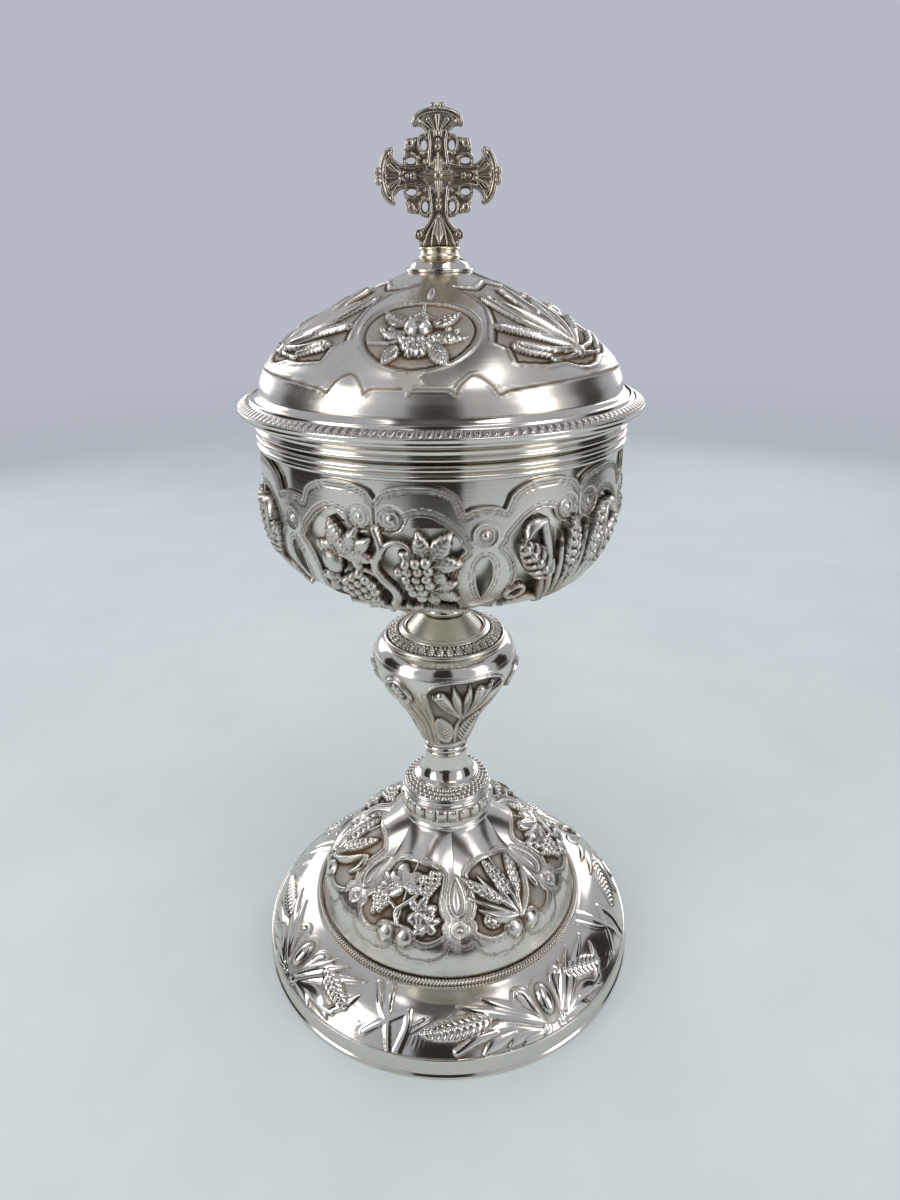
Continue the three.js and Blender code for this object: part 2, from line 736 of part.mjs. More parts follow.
// The plain bowl inside the basket, with a flat floor over the boss.
function cup() {
  const round = at(cupRadius, cupFloorZ + cupRound);
  const outer = new THREE.CubicBezierCurve(
    at(cupFloorRadius, cupFloorZ),
    at(mix(cupFloorRadius, cupRadius, 0.48), cupFloorZ),
    at(cupRadius - 0.03 * cupRound, cupFloorZ + 0.2 * cupRound),
    round,
  ).getPoints(6);
  const wall = [...outer, at(cupRadius, cupTopZ)];
  const inner = offset(wall, cupWall).reverse();
  inner[0] = at(cupInnerRadius, cupTopZ);
  inner[inner.length - 1] = at(cupFloorRadius, cupFloorZ + cupWall);
  return turnedSolid([at(0, cupFloorZ), ...wall, ...inner, at(0, cupFloorZ + cupWall)], largeSegments);
}

// The wires soldered round the cup under its lip.
function cupRim() {
  const inside = cupRadius + seatGap;
  const low = at(inside + rimWireRadius, cupTopZ - rimWireHeight + rimWireRadius);
  const high = at(inside + rimWireRadius, cupTopZ - rimWireRadius);
  return turned([
    at(inside, low.y - rimWireRadius),
    ...bead(low, rimWireRadius, -90, 70, 2),
    ...bead(high, rimWireRadius, -70, 90, 2),
    at(inside, cupTopZ),
  ], largeSegments);
}

// The moulded flange of the lid: stepped underneath, with a flat edge and a stepped top.
function lidFlange() {
  const inside = bezelRadius + seatGap;
  const joint = at(flangeJointRadius, flangeZ);
  const under = bend(joint, at(flangeRadius, flangeEdgeZ), [[0.3, 0.16], [0.5, 0.5], [0.8, 0.62]], 5);
  const edgeTop = flangeEdgeZ + flangeEdgeHeight;
  return turned([
    at(inside, flangeZ),
    ...under,
    at(flangeRadius, edgeTop),
    at(flangeRadius - 0.45 * flangeShelf, edgeTop + 0.5 * flangeTopRise),
    at(flangeRadius - 0.6 * flangeShelf, edgeTop + 0.5 * flangeTopRise),
    at(flangeRadius - 0.7 * flangeShelf, edgeTop + 0.85 * flangeTopRise),
    at(lidRadius + seatGap, lidZ),
    at(inside, lidZ),
  ], largeSegments);
}

// The main forms in a medallion of the lid: a round fruit over leaves, with berries under it.
const medallionMotif = [
  { from: [-0.27, 0.1], to: [0.27, 0.1], width: 0.54, round: true },
  { from: [-0.1, 0.2], to: [-0.62, 0.58], width: 0.36, high: 0.6 },
  { from: [0.1, 0.2], to: [0.62, 0.58], width: 0.36, high: 0.6 },
  { from: [0.16, 0.0], to: [0.74, -0.06], width: 0.36, high: 0.6 },
  { from: [-0.16, 0.0], to: [-0.7, -0.04], width: 0.32, high: 0.5 },
  { from: [0.14, -0.2], to: [0.56, -0.66], width: 0.36, high: 0.6 },
  { from: [-0.14, -0.2], to: [-0.52, -0.66], width: 0.36, high: 0.6 },
  { from: [0.0, -0.18], to: [0.0, -0.7], width: 0.44, high: 0.8 },
];

// The main forms in a star panel: reeds and leaves fanned from its foot.
const reedLeans = [-84, -66, -48, -24, 0, 24, 48, 66, 84];
const starMotif = reedLeans.map((lean) => {
  const [x, y] = [Math.sin(radians(lean)), Math.cos(radians(lean))];
  const tip = mix(starLongShare, starShortShare, Math.abs(lean) / reedLeans.at(-1));
  const [from, to] = [starReedShare, tip].map((share) => [share * x, share * y - starFootShare]);
  return { from, to, width: starReedShare, high: 0.75 };
});

// The low dome of the lid, closed at its crown by a plate with a hole for the stud.
function lidDome() {
  const start = at(lidRadius, lidZ);
  const end = at(lidCrownRadius, lidTopZ);
  const stops = [[0.02, 0.12], [0.096, 0.298], [0.305, 0.5275], [0.579, 0.735], [0.852, 0.916]];
  const inner = offset(bend(start, end, stops, 5), sheetWall).reverse();
  inner[0] = at(lidCrownRadius, lidTopZ - sheetWall);
  inner[inner.length - 1] = at(lidRadius - sheetWall, lidZ);
  const shell = turned([
    ...bend(start, end, stops, 7),
    at(studHole, lidTopZ),
    at(studHole, lidTopZ - sheetWall),
    ...inner,
  ], largeSegments);
  const line = smooth(start, end, stops);
  const relief = Array.from({ length: medallionCount }, (_, third) => {
    const azimuth = radians(medallionAzimuth + (360 / medallionCount) * third);
    const between = azimuth + Math.PI / medallionCount;
    return [
      ...motif(medallionMotif, around(line, azimuth, medallionUpShare), medallionReach, lidMotifRise),
      ...motif(starMotif, around(line, between, starUpShare), starReach, lidMotifRise),
    ];
  });
  return joined([shell, ...relief.flat()]);
}

// The collar inside the lid, which slides into the cup and keeps the lid on its middle.
function lidBezel() {
  return turned([
    at(bezelRadius - bezelWall, flangeZ - bezelDepth),
    at(bezelRadius, flangeZ - bezelDepth),
    at(bezelRadius, flangeZ - bezelDepth + bezelHeight),
    at(bezelRadius - bezelWall, flangeZ - bezelDepth + bezelHeight),
  ], largeSegments);
}

// The round cap on the crown of the lid.
function lidCap() {
  return turned([
    at(studHole, lidTopZ),
    at(lidCrownRadius, lidTopZ),
    at(lidCrownRadius, lidTopZ + lidCapEdge),
    ...bend(at(lidCrownRadius - seatGap, lidTopZ + lidCapEdge), at(lidCapTopRadius, crossCollarZ),
      [[0.35, 0.6]], 3),
    at(studHole, crossCollarZ),
  ], smallSegments);
}

// A shape that is the same on both sides of x = 0, from the line drawn on its +x side.
function mirroredShape(line, divisions) {
  const right = line.getPoints(divisions);
  const left = right.filter((point) => point.x > 0).map((point) => at(-point.x, point.y));
  return new THREE.Shape([...right, ...left.reverse()]);
}

// One upper arm of the cross, from the middle to the crescent at its end.
function armShape(reach) {
  const tip = crossTipHalf;
  const line = new THREE.Path().moveTo(crossArmHalf, -crossArmHalf).lineTo(crossArmHalf, 0.4 * reach);
  line.bezierCurveTo(0.8 * crossArmHalf, 0.62 * reach, 1.4 * crossArmHalf, 0.7 * reach, tip, 0.74 * reach);
  line.bezierCurveTo(1.06 * tip, 0.86 * reach, 0.5 * tip, 0.92 * reach, 0.25 * tip, reach);
  line.lineTo(0, 0.95 * reach);
  return mirroredShape(line, 3);
}

// The lower arm widens into side scrolls over a plain foot.
function footArmShape(reach) {
  const scroll = crossScrollHalf;
  const line = new THREE.Path().moveTo(crossArmHalf, -crossArmHalf).lineTo(crossArmHalf, 0.4 * reach);
  const neck = 0.8 * crossArmHalf;
  line.bezierCurveTo(neck, 0.62 * reach, 1.3 * crossArmHalf, 0.74 * reach, scroll, 0.77 * reach);
  line.lineTo(scroll, 0.85 * reach).lineTo(crossFootHalf, 0.88 * reach).lineTo(crossFootHalf, reach);
  return mirroredShape(line, 3);
}

// The pierced plate that fills a corner of the cross.
function cornerShape() {
  const outer = crossPlateReach;
  const corner = crossPlateCorner;
  const edge = 0.2 * outer;
  const shape = new THREE.Shape().moveTo(0, 0).lineTo(outer, edge);
  shape.quadraticCurveTo(outer, 0.55 * corner, corner, corner);
  shape.quadraticCurveTo(0.55 * corner, outer, edge, outer);
  const [x, y] = crossPlateHole;
  const [across, along] = crossPlateHoleRadii;
  shape.holes.push(new THREE.Path().absellipse(x, y, across, along, 0, 2 * Math.PI, true));
  shape.holes.push(new THREE.Path().absellipse(y, x, along, across, 0, 2 * Math.PI, true));
  return shape;
}

// A flat casting with eased edges, its middle plane at y = 0, turned to its place.
function cast(shape, turn, thickness) {
  const geometry = new THREE.ExtrudeGeometry(shape, {
    depth: thickness - 2 * crossBevel,
    bevelThickness: crossBevel,
    bevelSize: crossBevel,
    bevelOffset: -crossBevel,
    bevelSegments: 1,
    curveSegments: 3,
  });
  geometry.translate(0, 0, crossBevel - thickness / 2);
  geometry.rotateZ(turn);
  return welded(geometry);
}

function ballAt(x, y, z, radius) {
  const ball = new THREE.IcosahedronGeometry(radius, 0);
  ball.translate(x, y, z);
  return welded(ball);
}

// A four-sided spike through the middle of the star, from point to point.
function starRay(halfWidth, halfHeight, halfDepth) {
  const ray = new THREE.OctahedronGeometry(1);
  ray.scale(halfWidth, halfHeight, halfDepth);
  return welded(ray);
}

// One rib of the fan at the end of an arm, leaning to the side.
function fanRib(lean, turn, z) {
  const rib = new THREE.OctahedronGeometry(1);
  rib.scale(0.3 * crossArmHalf, crossRibLength / 2, 0.3 * crossArmHalf);
  rib.translate(0, 0.75 * crossRibLength, 0);
  rib.rotateZ(lean);
  rib.translate(0, crossRibReach - 0.75 * crossRibLength, z);
  rib.rotateZ(turn);
  return welded(rib);
}

// The cross is cast in one piece: four arms, pierced corners, a star and beads on both faces.
function cross() {
  const quarter = Math.PI / 2;
  const turns = [0, quarter, 2 * quarter, 3 * quarter];
  const starDepth = crossThickness / 2 + crossStarRise;
  const pieces = [
    cast(armShape(crossHalfSpan), -quarter, crossThickness),
    cast(armShape(crossHalfSpan), 0, crossThickness),
    cast(armShape(crossHalfSpan), quarter, crossThickness),
    cast(footArmShape(crossHeight - crossHalfSpan), Math.PI, crossThickness),
    starRay(crossStarReach, crossStarHalf, starDepth),
    starRay(crossStarHalf, crossStarReach, starDepth),
  ];
  for (const turn of turns) {
    const diagonal = turn + quarter / 2;
    const [x, y] = [crossBallReach * Math.cos(diagonal), crossBallReach * Math.sin(diagonal)];
    pieces.push(cast(cornerShape(), turn, 0.7 * crossThickness), ballAt(x, y, 0, crossBallRadius));
  }
  for (const face of [-crossThickness / 2, crossThickness / 2]) {
    pieces.push(ballAt(0, 0, face, crossBossRadius));
    for (const turn of turns) {
      const [x, y] = [crossBeadReach * Math.cos(turn), crossBeadReach * Math.sin(turn)];
      pieces.push(ballAt(x, y, face, crossBeadRadius));
      for (const lean of [-crossRibSpread, 0, crossRibSpread]) pieces.push(fanRib(radians(lean), turn, face));
    }
  }
  const geometry = joined(pieces);
  geometry.rotateX(quarter);
  geometry.translate(0, 0, crossCentreZ);
  return geometry;
}

// Foot
place("foot_band", footBand(), silver);
place("foot_skirt", footSkirt(), silver);
place("milled_wire", milledWire(), silver);
place("foot_dome", footDome(), chasedSilver);

// Stem, strung on the tie rod
const washerZ = neckTopZ - sheetWall - washerThickness;
place("foot_washer", washer(washerRadius, rodHole, washerZ, washerZ + washerThickness), steel);
place("tie_nut", hexNut(tieNutAcross, rodHole, washerZ - tieNutHeight, tieNutHeight), steel);
place("tie_rod", rod(tieRodRadius, washerZ - tieNutHeight - threadEnd, cupFloorZ - seatGap), steel);
place("collar_ring", collarRing(), chasedSilver);
place("collar_dome", collarDome(), silver);
place("spool_ring", spoolRing(), silver);
place("knop_seat", washer(knopSeatRadius, rodHole, knopSeatZ, knopBottomZ), oxidisedSilver);
place("knop_lower", knopLower(), chasedSilver);
place("knop_upper", knopUpper(), silver);
place("knop_frieze", knopFrieze(), chasedSilver);
place("knop_cap", knopCap(), silver);
place("upper_neck", upperNeck(), silver);
place("basket_plate", washer(cupBossRadius, rodHole, plateZ, basketZ), silver);

// Bowl
place("basket", basket(), chasedSilver);
place("cup_boss", washer(cupBossRadius, rodHole, cupBossZ, cupFloorZ), silver);
place("cup", cup(), silver);
place("cup_rim", cupRim(), silver);

// Lid
const nutTopZ = lidTopZ - sheetWall - washerThickness;
place("lid_flange", lidFlange(), silver);
place("lid_bezel", lidBezel(), silver);
place("lid_dome", lidDome(), silver);
place("lid_cap", lidCap(), silver);
place("cross_collar", washer(crossCollarRadius, studHole, crossCollarZ, crossZ), giltSilver);
place("cross", cross(), oxidisedSilver);
place("cross_washer", washer(crossWasherRadius, studHole, nutTopZ, nutTopZ + washerThickness), steel);
place("cross_nut", hexNut(crossNutAcross, studHole, nutTopZ - crossNutHeight, crossNutHeight), steel);
place("cross_stud", rod(crossStudRadius, nutTopZ - crossNutHeight - threadEnd, crossZ), steel);

export default group;
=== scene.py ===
"""A silver ciborium: chased foot, knopped stem, openwork basket and a lid with a cross.

Lengths inside the script are millimetres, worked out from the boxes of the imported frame,
and become metres when a mesh is made. Azimuths are degrees from the front (-Y) towards +X.
"""

import json

import bpy
import numpy as np
from mathutils import Matrix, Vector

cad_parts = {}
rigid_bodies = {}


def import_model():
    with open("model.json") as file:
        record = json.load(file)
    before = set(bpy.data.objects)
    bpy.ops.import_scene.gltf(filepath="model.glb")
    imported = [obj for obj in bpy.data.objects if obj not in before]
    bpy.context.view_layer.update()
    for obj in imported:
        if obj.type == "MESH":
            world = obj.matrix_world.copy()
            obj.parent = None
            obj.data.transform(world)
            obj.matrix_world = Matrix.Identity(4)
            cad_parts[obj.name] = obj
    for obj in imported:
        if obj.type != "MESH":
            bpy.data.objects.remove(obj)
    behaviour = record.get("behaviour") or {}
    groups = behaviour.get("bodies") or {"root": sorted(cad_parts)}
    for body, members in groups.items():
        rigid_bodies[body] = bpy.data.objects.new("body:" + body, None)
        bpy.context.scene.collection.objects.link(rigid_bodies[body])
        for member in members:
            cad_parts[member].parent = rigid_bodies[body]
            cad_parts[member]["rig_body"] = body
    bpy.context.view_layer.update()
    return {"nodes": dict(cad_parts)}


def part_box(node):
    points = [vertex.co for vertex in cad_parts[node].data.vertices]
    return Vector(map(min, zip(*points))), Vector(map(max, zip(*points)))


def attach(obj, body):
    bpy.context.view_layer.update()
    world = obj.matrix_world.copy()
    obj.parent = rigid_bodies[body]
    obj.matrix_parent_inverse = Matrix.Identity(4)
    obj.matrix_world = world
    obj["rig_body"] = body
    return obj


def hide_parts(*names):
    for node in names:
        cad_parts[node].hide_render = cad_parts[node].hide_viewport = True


bl_info = {
    "name": "Ciborium",
    "version": (1, 0, 0),
    "blender": (4, 5, 0),
    "location": "View3D > Sidebar > Ciborium",
    "description": "Builds the visible pieces of a silver ciborium around its packed frame",
    "category": "Add Mesh",
}

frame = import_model()
MM = 0.001


def extent(node):
    """The bottom, the top and the widest radius of a node, in millimetres."""
    low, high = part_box(node)
    return low.z / MM, high.z / MM, max(high.x, high.y, -low.x, -low.y) / MM


def top(node):
    return extent(node)[1]


def reach(node):
    return extent(node)[2]


def body_of(node):
    """The body that carries a node of the frame."""
    return frame["nodes"][node]["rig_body"]


# The sheet, the gaps and the radii that the boxes of the frame don't show
SHEET = 1.2
GAP = 0.3
ROD_HOLE = reach("tie_rod") + GAP
STUD_HOLE = reach("cross_stud") + GAP
DOME_RIM, DOME_NECK = 48.5, 15.4
KNOP_EDGE, KNOP_SHOULDER = reach("knop_lower") - 0.6, 20.6
BOWL_RADIUS = 54.5

# Half the width of one of the six panels, where the basket is widest
PANEL_HALF = 28.5

# Azimuths of one wheat panel on the foot and on the basket. The vines are 60 degrees further on.
FOOT_WHEAT, BASKET_WHEAT = 35, 41


class CiboriumFinish(bpy.types.PropertyGroup):
    silver: bpy.props.FloatVectorProperty(
        name="Silver", description="Colour of the clean polished silver", subtype="COLOR",
        size=3, min=0, max=1, default=(0.74, 0.70, 0.63))
    tarnish: bpy.props.FloatVectorProperty(
        name="Tarnish", description="Colour of the tarnish left in the recesses", subtype="COLOR",
        size=3, min=0, max=1, default=(0.10, 0.07, 0.045))
    matt: bpy.props.FloatVectorProperty(
        name="Matt ground", description="Colour of the punched grounds behind the ornament",
        subtype="COLOR", size=3, min=0, max=1, default=(0.47, 0.43, 0.375))
    gilt: bpy.props.FloatVectorProperty(
        name="Gilding", description="Colour of the gilding inside the cup", subtype="COLOR",
        size=3, min=0, max=1, default=(0.80, 0.60, 0.27))
    polish: bpy.props.FloatProperty(
        name="Polish", description="Roughness of the polished silver", subtype="FACTOR",
        min=0, max=1, default=0.1)


class CiboriumDetail(bpy.types.PropertyGroup):
    columns: bpy.props.IntProperty(
        name="Columns", description="Faces round a plain turned piece", min=48, max=512, default=256)
    relief: bpy.props.FloatProperty(
        name="Relief", description="Height of the chased ornament as a share of the real one",
        subtype="FACTOR", min=0, max=2, default=1)


# Profiles: points of radius and height

def curve(points, count):
    """A Catmull-Rom curve through the points, sampled at even steps of its length."""
    points = np.asarray(points, float)
    ends = np.vstack([2 * points[0] - points[1], points, 2 * points[-1] - points[-2]])
    t = np.linspace(0, 1, 24, endpoint=False)[:, None]
    pieces = []
    for before, start, end, after in zip(ends, ends[1:], ends[2:], ends[3:]):
        pieces.append(0.5 * (2 * start + (end - before) * t
                             + (2 * before - 5 * start + 4 * end - after) * t ** 2
                             + (3 * start - before - 3 * end + after) * t ** 3))
    return evenly(np.vstack([*pieces, points[-1:]]), count)


def evenly(line, count):
    """The same line with its points at even steps of its length."""
    length = along(line)
    even = np.linspace(0, length[-1], count)
    return np.column_stack([np.interp(even, length, line[:, 0]), np.interp(even, length, line[:, 1])])


def along(line):
    """The length of the line up to each of its points."""
    return np.r_[0, np.cumsum(np.hypot(*np.diff(line, axis=0).T))]


def bend(start, end, stops, count):
    """A curve from start to end. Each stop is a share of the way across and a share up."""
    start, end = np.array(start, float), np.array(end, float)
    between = [start + (end - start) * np.array(stop) for stop in stops]
    return curve([start, *between, end], count)


def bezier(corners, count):
    """A cubic Bezier curve with these four corners."""
    a, b, c, d = np.asarray(corners, float)
    t = np.linspace(0, 1, count)[:, None]
    return (1 - t) ** 3 * a + 3 * (1 - t) ** 2 * t * b + 3 * (1 - t) * t ** 2 * c + t ** 3 * d


def arc(centre, radius, start, end, count):
    """Points on a circle, from one angle to another in degrees from the outward direction."""
    angle = np.radians(np.linspace(start, end, count))
    return np.column_stack([centre[0] + radius * np.cos(angle), centre[1] + radius * np.sin(angle)])


def beside(line, distance):
    """The line moved to its left: each point goes along the line's normal there."""
    ahead = np.gradient(line, axis=0)
    ahead /= np.hypot(*ahead.T)[:, None]
    return line + distance * np.column_stack([-ahead[:, 1], ahead[:, 0]])


def eased(corners, radius=0.25, steps=4):
    """A closed outline with each corner replaced by a short parabola."""
    corners = np.asarray(corners, float)
    before, after = np.roll(corners, 1, axis=0), np.roll(corners, -1, axis=0)
    into, out = before - corners, after - corners
    room = 0.45 * np.minimum(np.hypot(*into.T), np.hypot(*out.T))
    cut = np.minimum(radius, room)[:, None]
    start = corners + into / np.hypot(*into.T)[:, None] * cut
    end = corners + out / np.hypot(*out.T)[:, None] * cut
    t = np.linspace(0, 1, steps)[None, :, None]
    rounded = ((1 - t) ** 2 * start[:, None] + 2 * t * (1 - t) * corners[:, None]
               + t ** 2 * end[:, None])
    return rounded.reshape(-1, 2)


# Meshes

def make_piece(name, points, faces, surface, channels=None, crease=None, node=None):
    """A mesh object from vertices in millimetres and faces of three or four corners.

    A face of three corners repeats its last one. Each channel is a value per vertex. Vertices
    that no face uses are left out. The piece replaces the node of its name, unless another is
    given, and rides on that node's body. The surface is the name of its finish.
    """
    node = node or name
    used, faces = np.unique(faces, return_inverse=True)
    faces = faces.reshape(-1, 4)
    points = points[used]
    mesh = bpy.data.meshes.new(name)
    sides = np.where(faces[:, 3] == faces[:, 2], 3, 4)
    keep = np.ones(faces.shape, bool)
    keep[sides == 3, 3] = False
    corners = faces[keep]
    mesh.vertices.add(len(points))
    mesh.vertices.foreach_set("co", (points * MM).astype(np.float32).ravel())
    mesh.loops.add(len(corners))
    mesh.loops.foreach_set("vertex_index", corners.astype(np.int32))
    mesh.polygons.add(len(faces))
    mesh.polygons.foreach_set("loop_start", np.r_[0, np.cumsum(sides)[:-1]].astype(np.int32))
    mesh.update(calc_edges=True)
    mesh.shade_smooth()
    if crease:
        mesh.set_sharp_from_angle(angle=np.radians(crease))
    for channel, values in (channels or {}).items():
        attribute = mesh.attributes.new(channel, "FLOAT", "POINT")
        attribute.data.foreach_set("value", values.ravel()[used].astype(np.float32))
    mesh.materials.append(finish(surface))
    piece = placed(f"{name}.surface", mesh)
    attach(piece, body_of(node))
    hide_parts(node)
    return piece


def placed(name, data):
    """An object with this data, linked into the scene."""
    item = bpy.data.objects.new(name, data)
    bpy.context.scene.collection.objects.link(item)
    return item


def grid_faces(rows, columns, wrap_rows, wrap_columns):
    """The four-cornered cells of a grid whose vertices are numbered row by row."""
    numbers = np.arange(rows * columns).reshape(rows, columns)
    if wrap_rows:
        numbers = np.vstack([numbers, numbers[:1]])
    if wrap_columns:
        numbers = np.hstack([numbers, numbers[:, :1]])
    a, b = numbers[:-1, :-1], numbers[:-1, 1:]
    c, d = numbers[1:, 1:], numbers[1:, :-1]
    return np.stack([a, b, c, d], axis=-1).reshape(-1, 4)


def trimmed(faces):
    """Drops faces without area, and writes a face with a doubled corner as a three-cornered one."""
    doubled = faces == np.roll(faces, -1, axis=1)
    count = doubled.sum(axis=1)
    kept = [faces[count == 0]]
    for corner in range(4):
        picked = faces[(count == 1) & doubled[:, corner]]
        picked = picked[:, [(corner + step) % 4 for step in (1, 2, 3)]]
        kept.append(np.column_stack([picked, picked[:, 2]]))
    return np.vstack(kept)


def spun(profile, azimuths):
    """Points of a profile turned about the axis, as rows along it and columns round."""
    turn = np.radians(azimuths)[None, :]
    r, z = profile[:, :1], profile[:, 1:]
    return np.stack([r * np.sin(turn), -r * np.cos(turn), z + 0 * turn], axis=-1)


def round_piece(name, points, surface, channels=None, crease=None):
    """A closed piece from rows of points round the axis, the last row joined to the first.

    The points of a row that lies on the axis become one vertex.
    """
    rows, columns = points.shape[:2]
    faces = grid_faces(rows, columns, True, True)
    on_axis = np.hypot(points[..., 0], points[..., 1]).max(axis=1) < 1e-6
    number = np.arange(rows * columns).reshape(rows, columns)
    number[on_axis] = number[on_axis, :1]
    faces = trimmed(number.ravel()[faces])
    return make_piece(name, points.reshape(-1, 3), faces, surface, channels, crease)


def turned(name, outline, surface="polished silver", columns=None, crease=35):
    """A piece turned on a lathe: its closed outline runs anticlockwise round the section."""
    columns = columns or bpy.context.scene.ciborium_detail.columns
    outline = np.asarray(outline, float)
    points = spun(outline, np.arange(columns) * 360 / columns)
    return round_piece(name, points, surface, crease=crease)


def normals_of(points):
    """Unit normals of a grid that closes on itself round the axis: round crossed with upwards."""
    upwards = np.gradient(points, axis=0)
    onwards = np.roll(points, -1, axis=1) - np.roll(points, 1, axis=1)
    normal = np.cross(onwards, upwards)
    return normal / np.maximum(np.linalg.norm(normal, axis=-1, keepdims=True), 1e-9)


def cell_polygons(case):
    """The parts of a cut cell that stay, as slots counted round it: even for corners, odd for edges.

    The case has one bit for each corner that is kept.
    """
    kept = [bool(case >> corner & 1) for corner in range(4)]
    if case in (5, 10):
        return [[(2 * corner - 1) % 8, 2 * corner, 2 * corner + 1] for corner in range(4) if kept[corner]]
    polygon = []
    for corner in range(4):
        if kept[corner]:
            polygon.append(2 * corner)
        if kept[corner] != kept[(corner + 1) % 4]:
            polygon.append(2 * corner + 1)
    return [polygon]


def pierced(outer, inner, inside, channels):
    """A sheet with openings: both its faces and the walls between them, where inside is above zero.

    A cell that the zero line crosses is cut along it, at the place where inside would be zero
    if it changed evenly between the corners. Returns points, faces and channels.
    """
    rows, columns = inside.shape
    number = np.arange(rows * columns).reshape(rows, columns)
    level = rows * columns + np.arange(rows * (columns - 1)).reshape(rows, columns - 1)
    upright = level.max() + 1 + np.arange((rows - 1) * columns).reshape(rows - 1, columns)
    total = upright.max() + 1
    slots = np.stack([number[:-1, :-1], level[:-1], number[:-1, 1:], upright[:, 1:],
                      number[1:, 1:], level[1:], number[1:, :-1], upright[:, :-1]], axis=-1)
    kept = inside > 0
    cases = kept[:-1, :-1] + 2 * kept[:-1, 1:] + 4 * kept[1:, 1:] + 8 * kept[1:, :-1]

    def crossings(values):
        share_level = crossing_share(inside[:, :-1], inside[:, 1:])
        share_upright = crossing_share(inside[:-1], inside[1:])
        flat = values.reshape(rows, columns, -1)
        parts = [flat, flat[:, :-1] + share_level * (flat[:, 1:] - flat[:, :-1]),
                 flat[:-1] + share_upright * (flat[1:] - flat[:-1])]
        return np.vstack([part.reshape(-1, flat.shape[2]) for part in parts])

    row, column = np.indices(cases.shape)
    borders = (((0, 1, 2), row == 0), ((2, 3, 4), column == columns - 2),
               ((4, 5, 6), row == rows - 2), ((6, 7, 0), column == 0))
    faces = []
    for case in range(1, 16):
        picked = cases == case
        for polygon in cell_polygons(case):
            corners = slots[picked][:, polygon]
            for part in ([0, 1, 2, 2],) if len(polygon) == 3 else ([0, 1, 2, 3],):
                faces += [corners[:, part], total + corners[:, part[::-1]]]
            if len(polygon) == 5:
                faces += [corners[:, [0, 3, 4, 4]], total + corners[:, [4, 3, 0, 0]]]
            for p, q in zip(polygon, polygon[1:] + polygon[:1]):
                walls = picked if p % 2 and q % 2 else np.zeros_like(picked)
                for side, border in borders:
                    if p in side and q in side:
                        walls = picked & border
                start, end = slots[walls][:, p], slots[walls][:, q]
                faces.append(np.column_stack([end, start, total + start, total + end]))
    points = np.vstack([crossings(outer), crossings(inner)])
    faces = np.vstack(faces)
    turned_over = faces[:, 0] == faces[:, 1]
    faces[turned_over] = faces[turned_over][:, [1, 2, 3, 3]]
    return points, faces, {name: np.tile(crossings(field).ravel(), 2) for name, field in channels.items()}


def crossing_share(start, end):
    """Where between two neighbours the value is zero, as a share of the way; half where it isn't."""
    gap = start - end
    share = np.divide(start, gap, out=np.full(gap.shape, 0.5), where=(start > 0) != (end > 0))
    return np.clip(share, 0.02, 0.98)[..., None]


# Ornament. A form takes millimetres to the right of its foot and ahead of it, and gives its rise
# and how far inside its outline each place is.

def roll(gap, half):
    """A half-round section: 1 on its middle, 0 at half from it."""
    return np.sqrt(np.clip(1 - (gap / half) ** 2, 0, 1))


def eased_step(value, low, high):
    """0 below low, 1 above high, and a smooth step between them."""
    share = np.clip((value - low) / (high - low), 0, 1)
    return share * share * (3 - 2 * share)


def eased_band(value, low, full, ending, high):
    """0 below low, 1 from full to ending, 0 above high, and smooth steps between them."""
    return eased_step(value, low, full) * (1 - eased_step(value, ending, high))


def followed(u, v, path):
    """For each place: its distance from the path, the share of the length there, and its side."""
    path = np.asarray(path, float)
    steps = np.diff(path, axis=0)
    starts = along(path)
    nearest = np.full(np.shape(u), np.inf)
    share = np.zeros(np.shape(u))
    side = np.ones(np.shape(u))
    for point, step, start in zip(path, steps, starts):
        size = np.hypot(*step)
        du, dv = u - point[0], v - point[1]
        t = np.clip((du * step[0] + dv * step[1]) / size ** 2, 0, 1)
        gap = np.hypot(du - t * step[0], dv - t * step[1])
        closer = gap < nearest
        nearest = np.where(closer, gap, nearest)
        share = np.where(closer, start + t * size, share)
        side = np.where(closer, np.sign(step[0] * dv - step[1] * du), side)
    return nearest, share / starts[-1], side


def region(u, v, outline):
    """The distance from a closed outline, above zero inside it."""
    closed = np.vstack([outline, outline[:1]])
    gap = followed(u, v, closed)[0]
    crossings = np.zeros(np.shape(u), int)
    for (x1, y1), (x2, y2) in zip(closed, closed[1:]):
        if y1 != y2:
            spans = (v >= min(y1, y2)) & (v < max(y1, y2))
            crossings += spans & (u < x1 + (v - y1) * (x2 - x1) / (y2 - y1))
    return np.where(crossings % 2 == 1, gap, -gap)


def mirrored(points):
    """A closed outline from its right half, listed from the top of the axis to its foot."""
    points = np.asarray(points, float)
    left = points[points[:, 0] > 1e-6] * (-1, 1)
    return np.vstack([points, left[::-1]])


def bump(across, ahead, rise):
    """An oval boss: its section is half an ellipse both ways."""
    def form(u, v):
        out = np.hypot(u / across, v / ahead)
        return rise * roll(out, 1), (1 - out) * min(across, ahead)
    return form


def ring(radius, half, rise):
    """A round wire bent to a circle."""
    def form(u, v):
        gap = np.abs(np.hypot(u, v) - radius)
        return rise * roll(gap, half), half - gap
    return form


def strip(path, width, rise, start=1.0, end=1.0, belly=0.0, rib=0.0):
    """A rounded band along a smooth path.

    Its width goes evenly from one share to the other, with a belly between them like half a sine.
    A rib adds a sharp ridge along its middle.
    """
    path = curve(path, 5 + 4 * len(path))

    def form(u, v):
        gap, share, _ = followed(u, v, path)
        half = width / 2 * (start + (end - start) * share + belly * np.sin(np.pi * share)) + 0.05
        section = roll(gap, half) + rib * np.exp(-(gap / (0.16 * width)) ** 2)
        return rise * section, half - gap
    return form


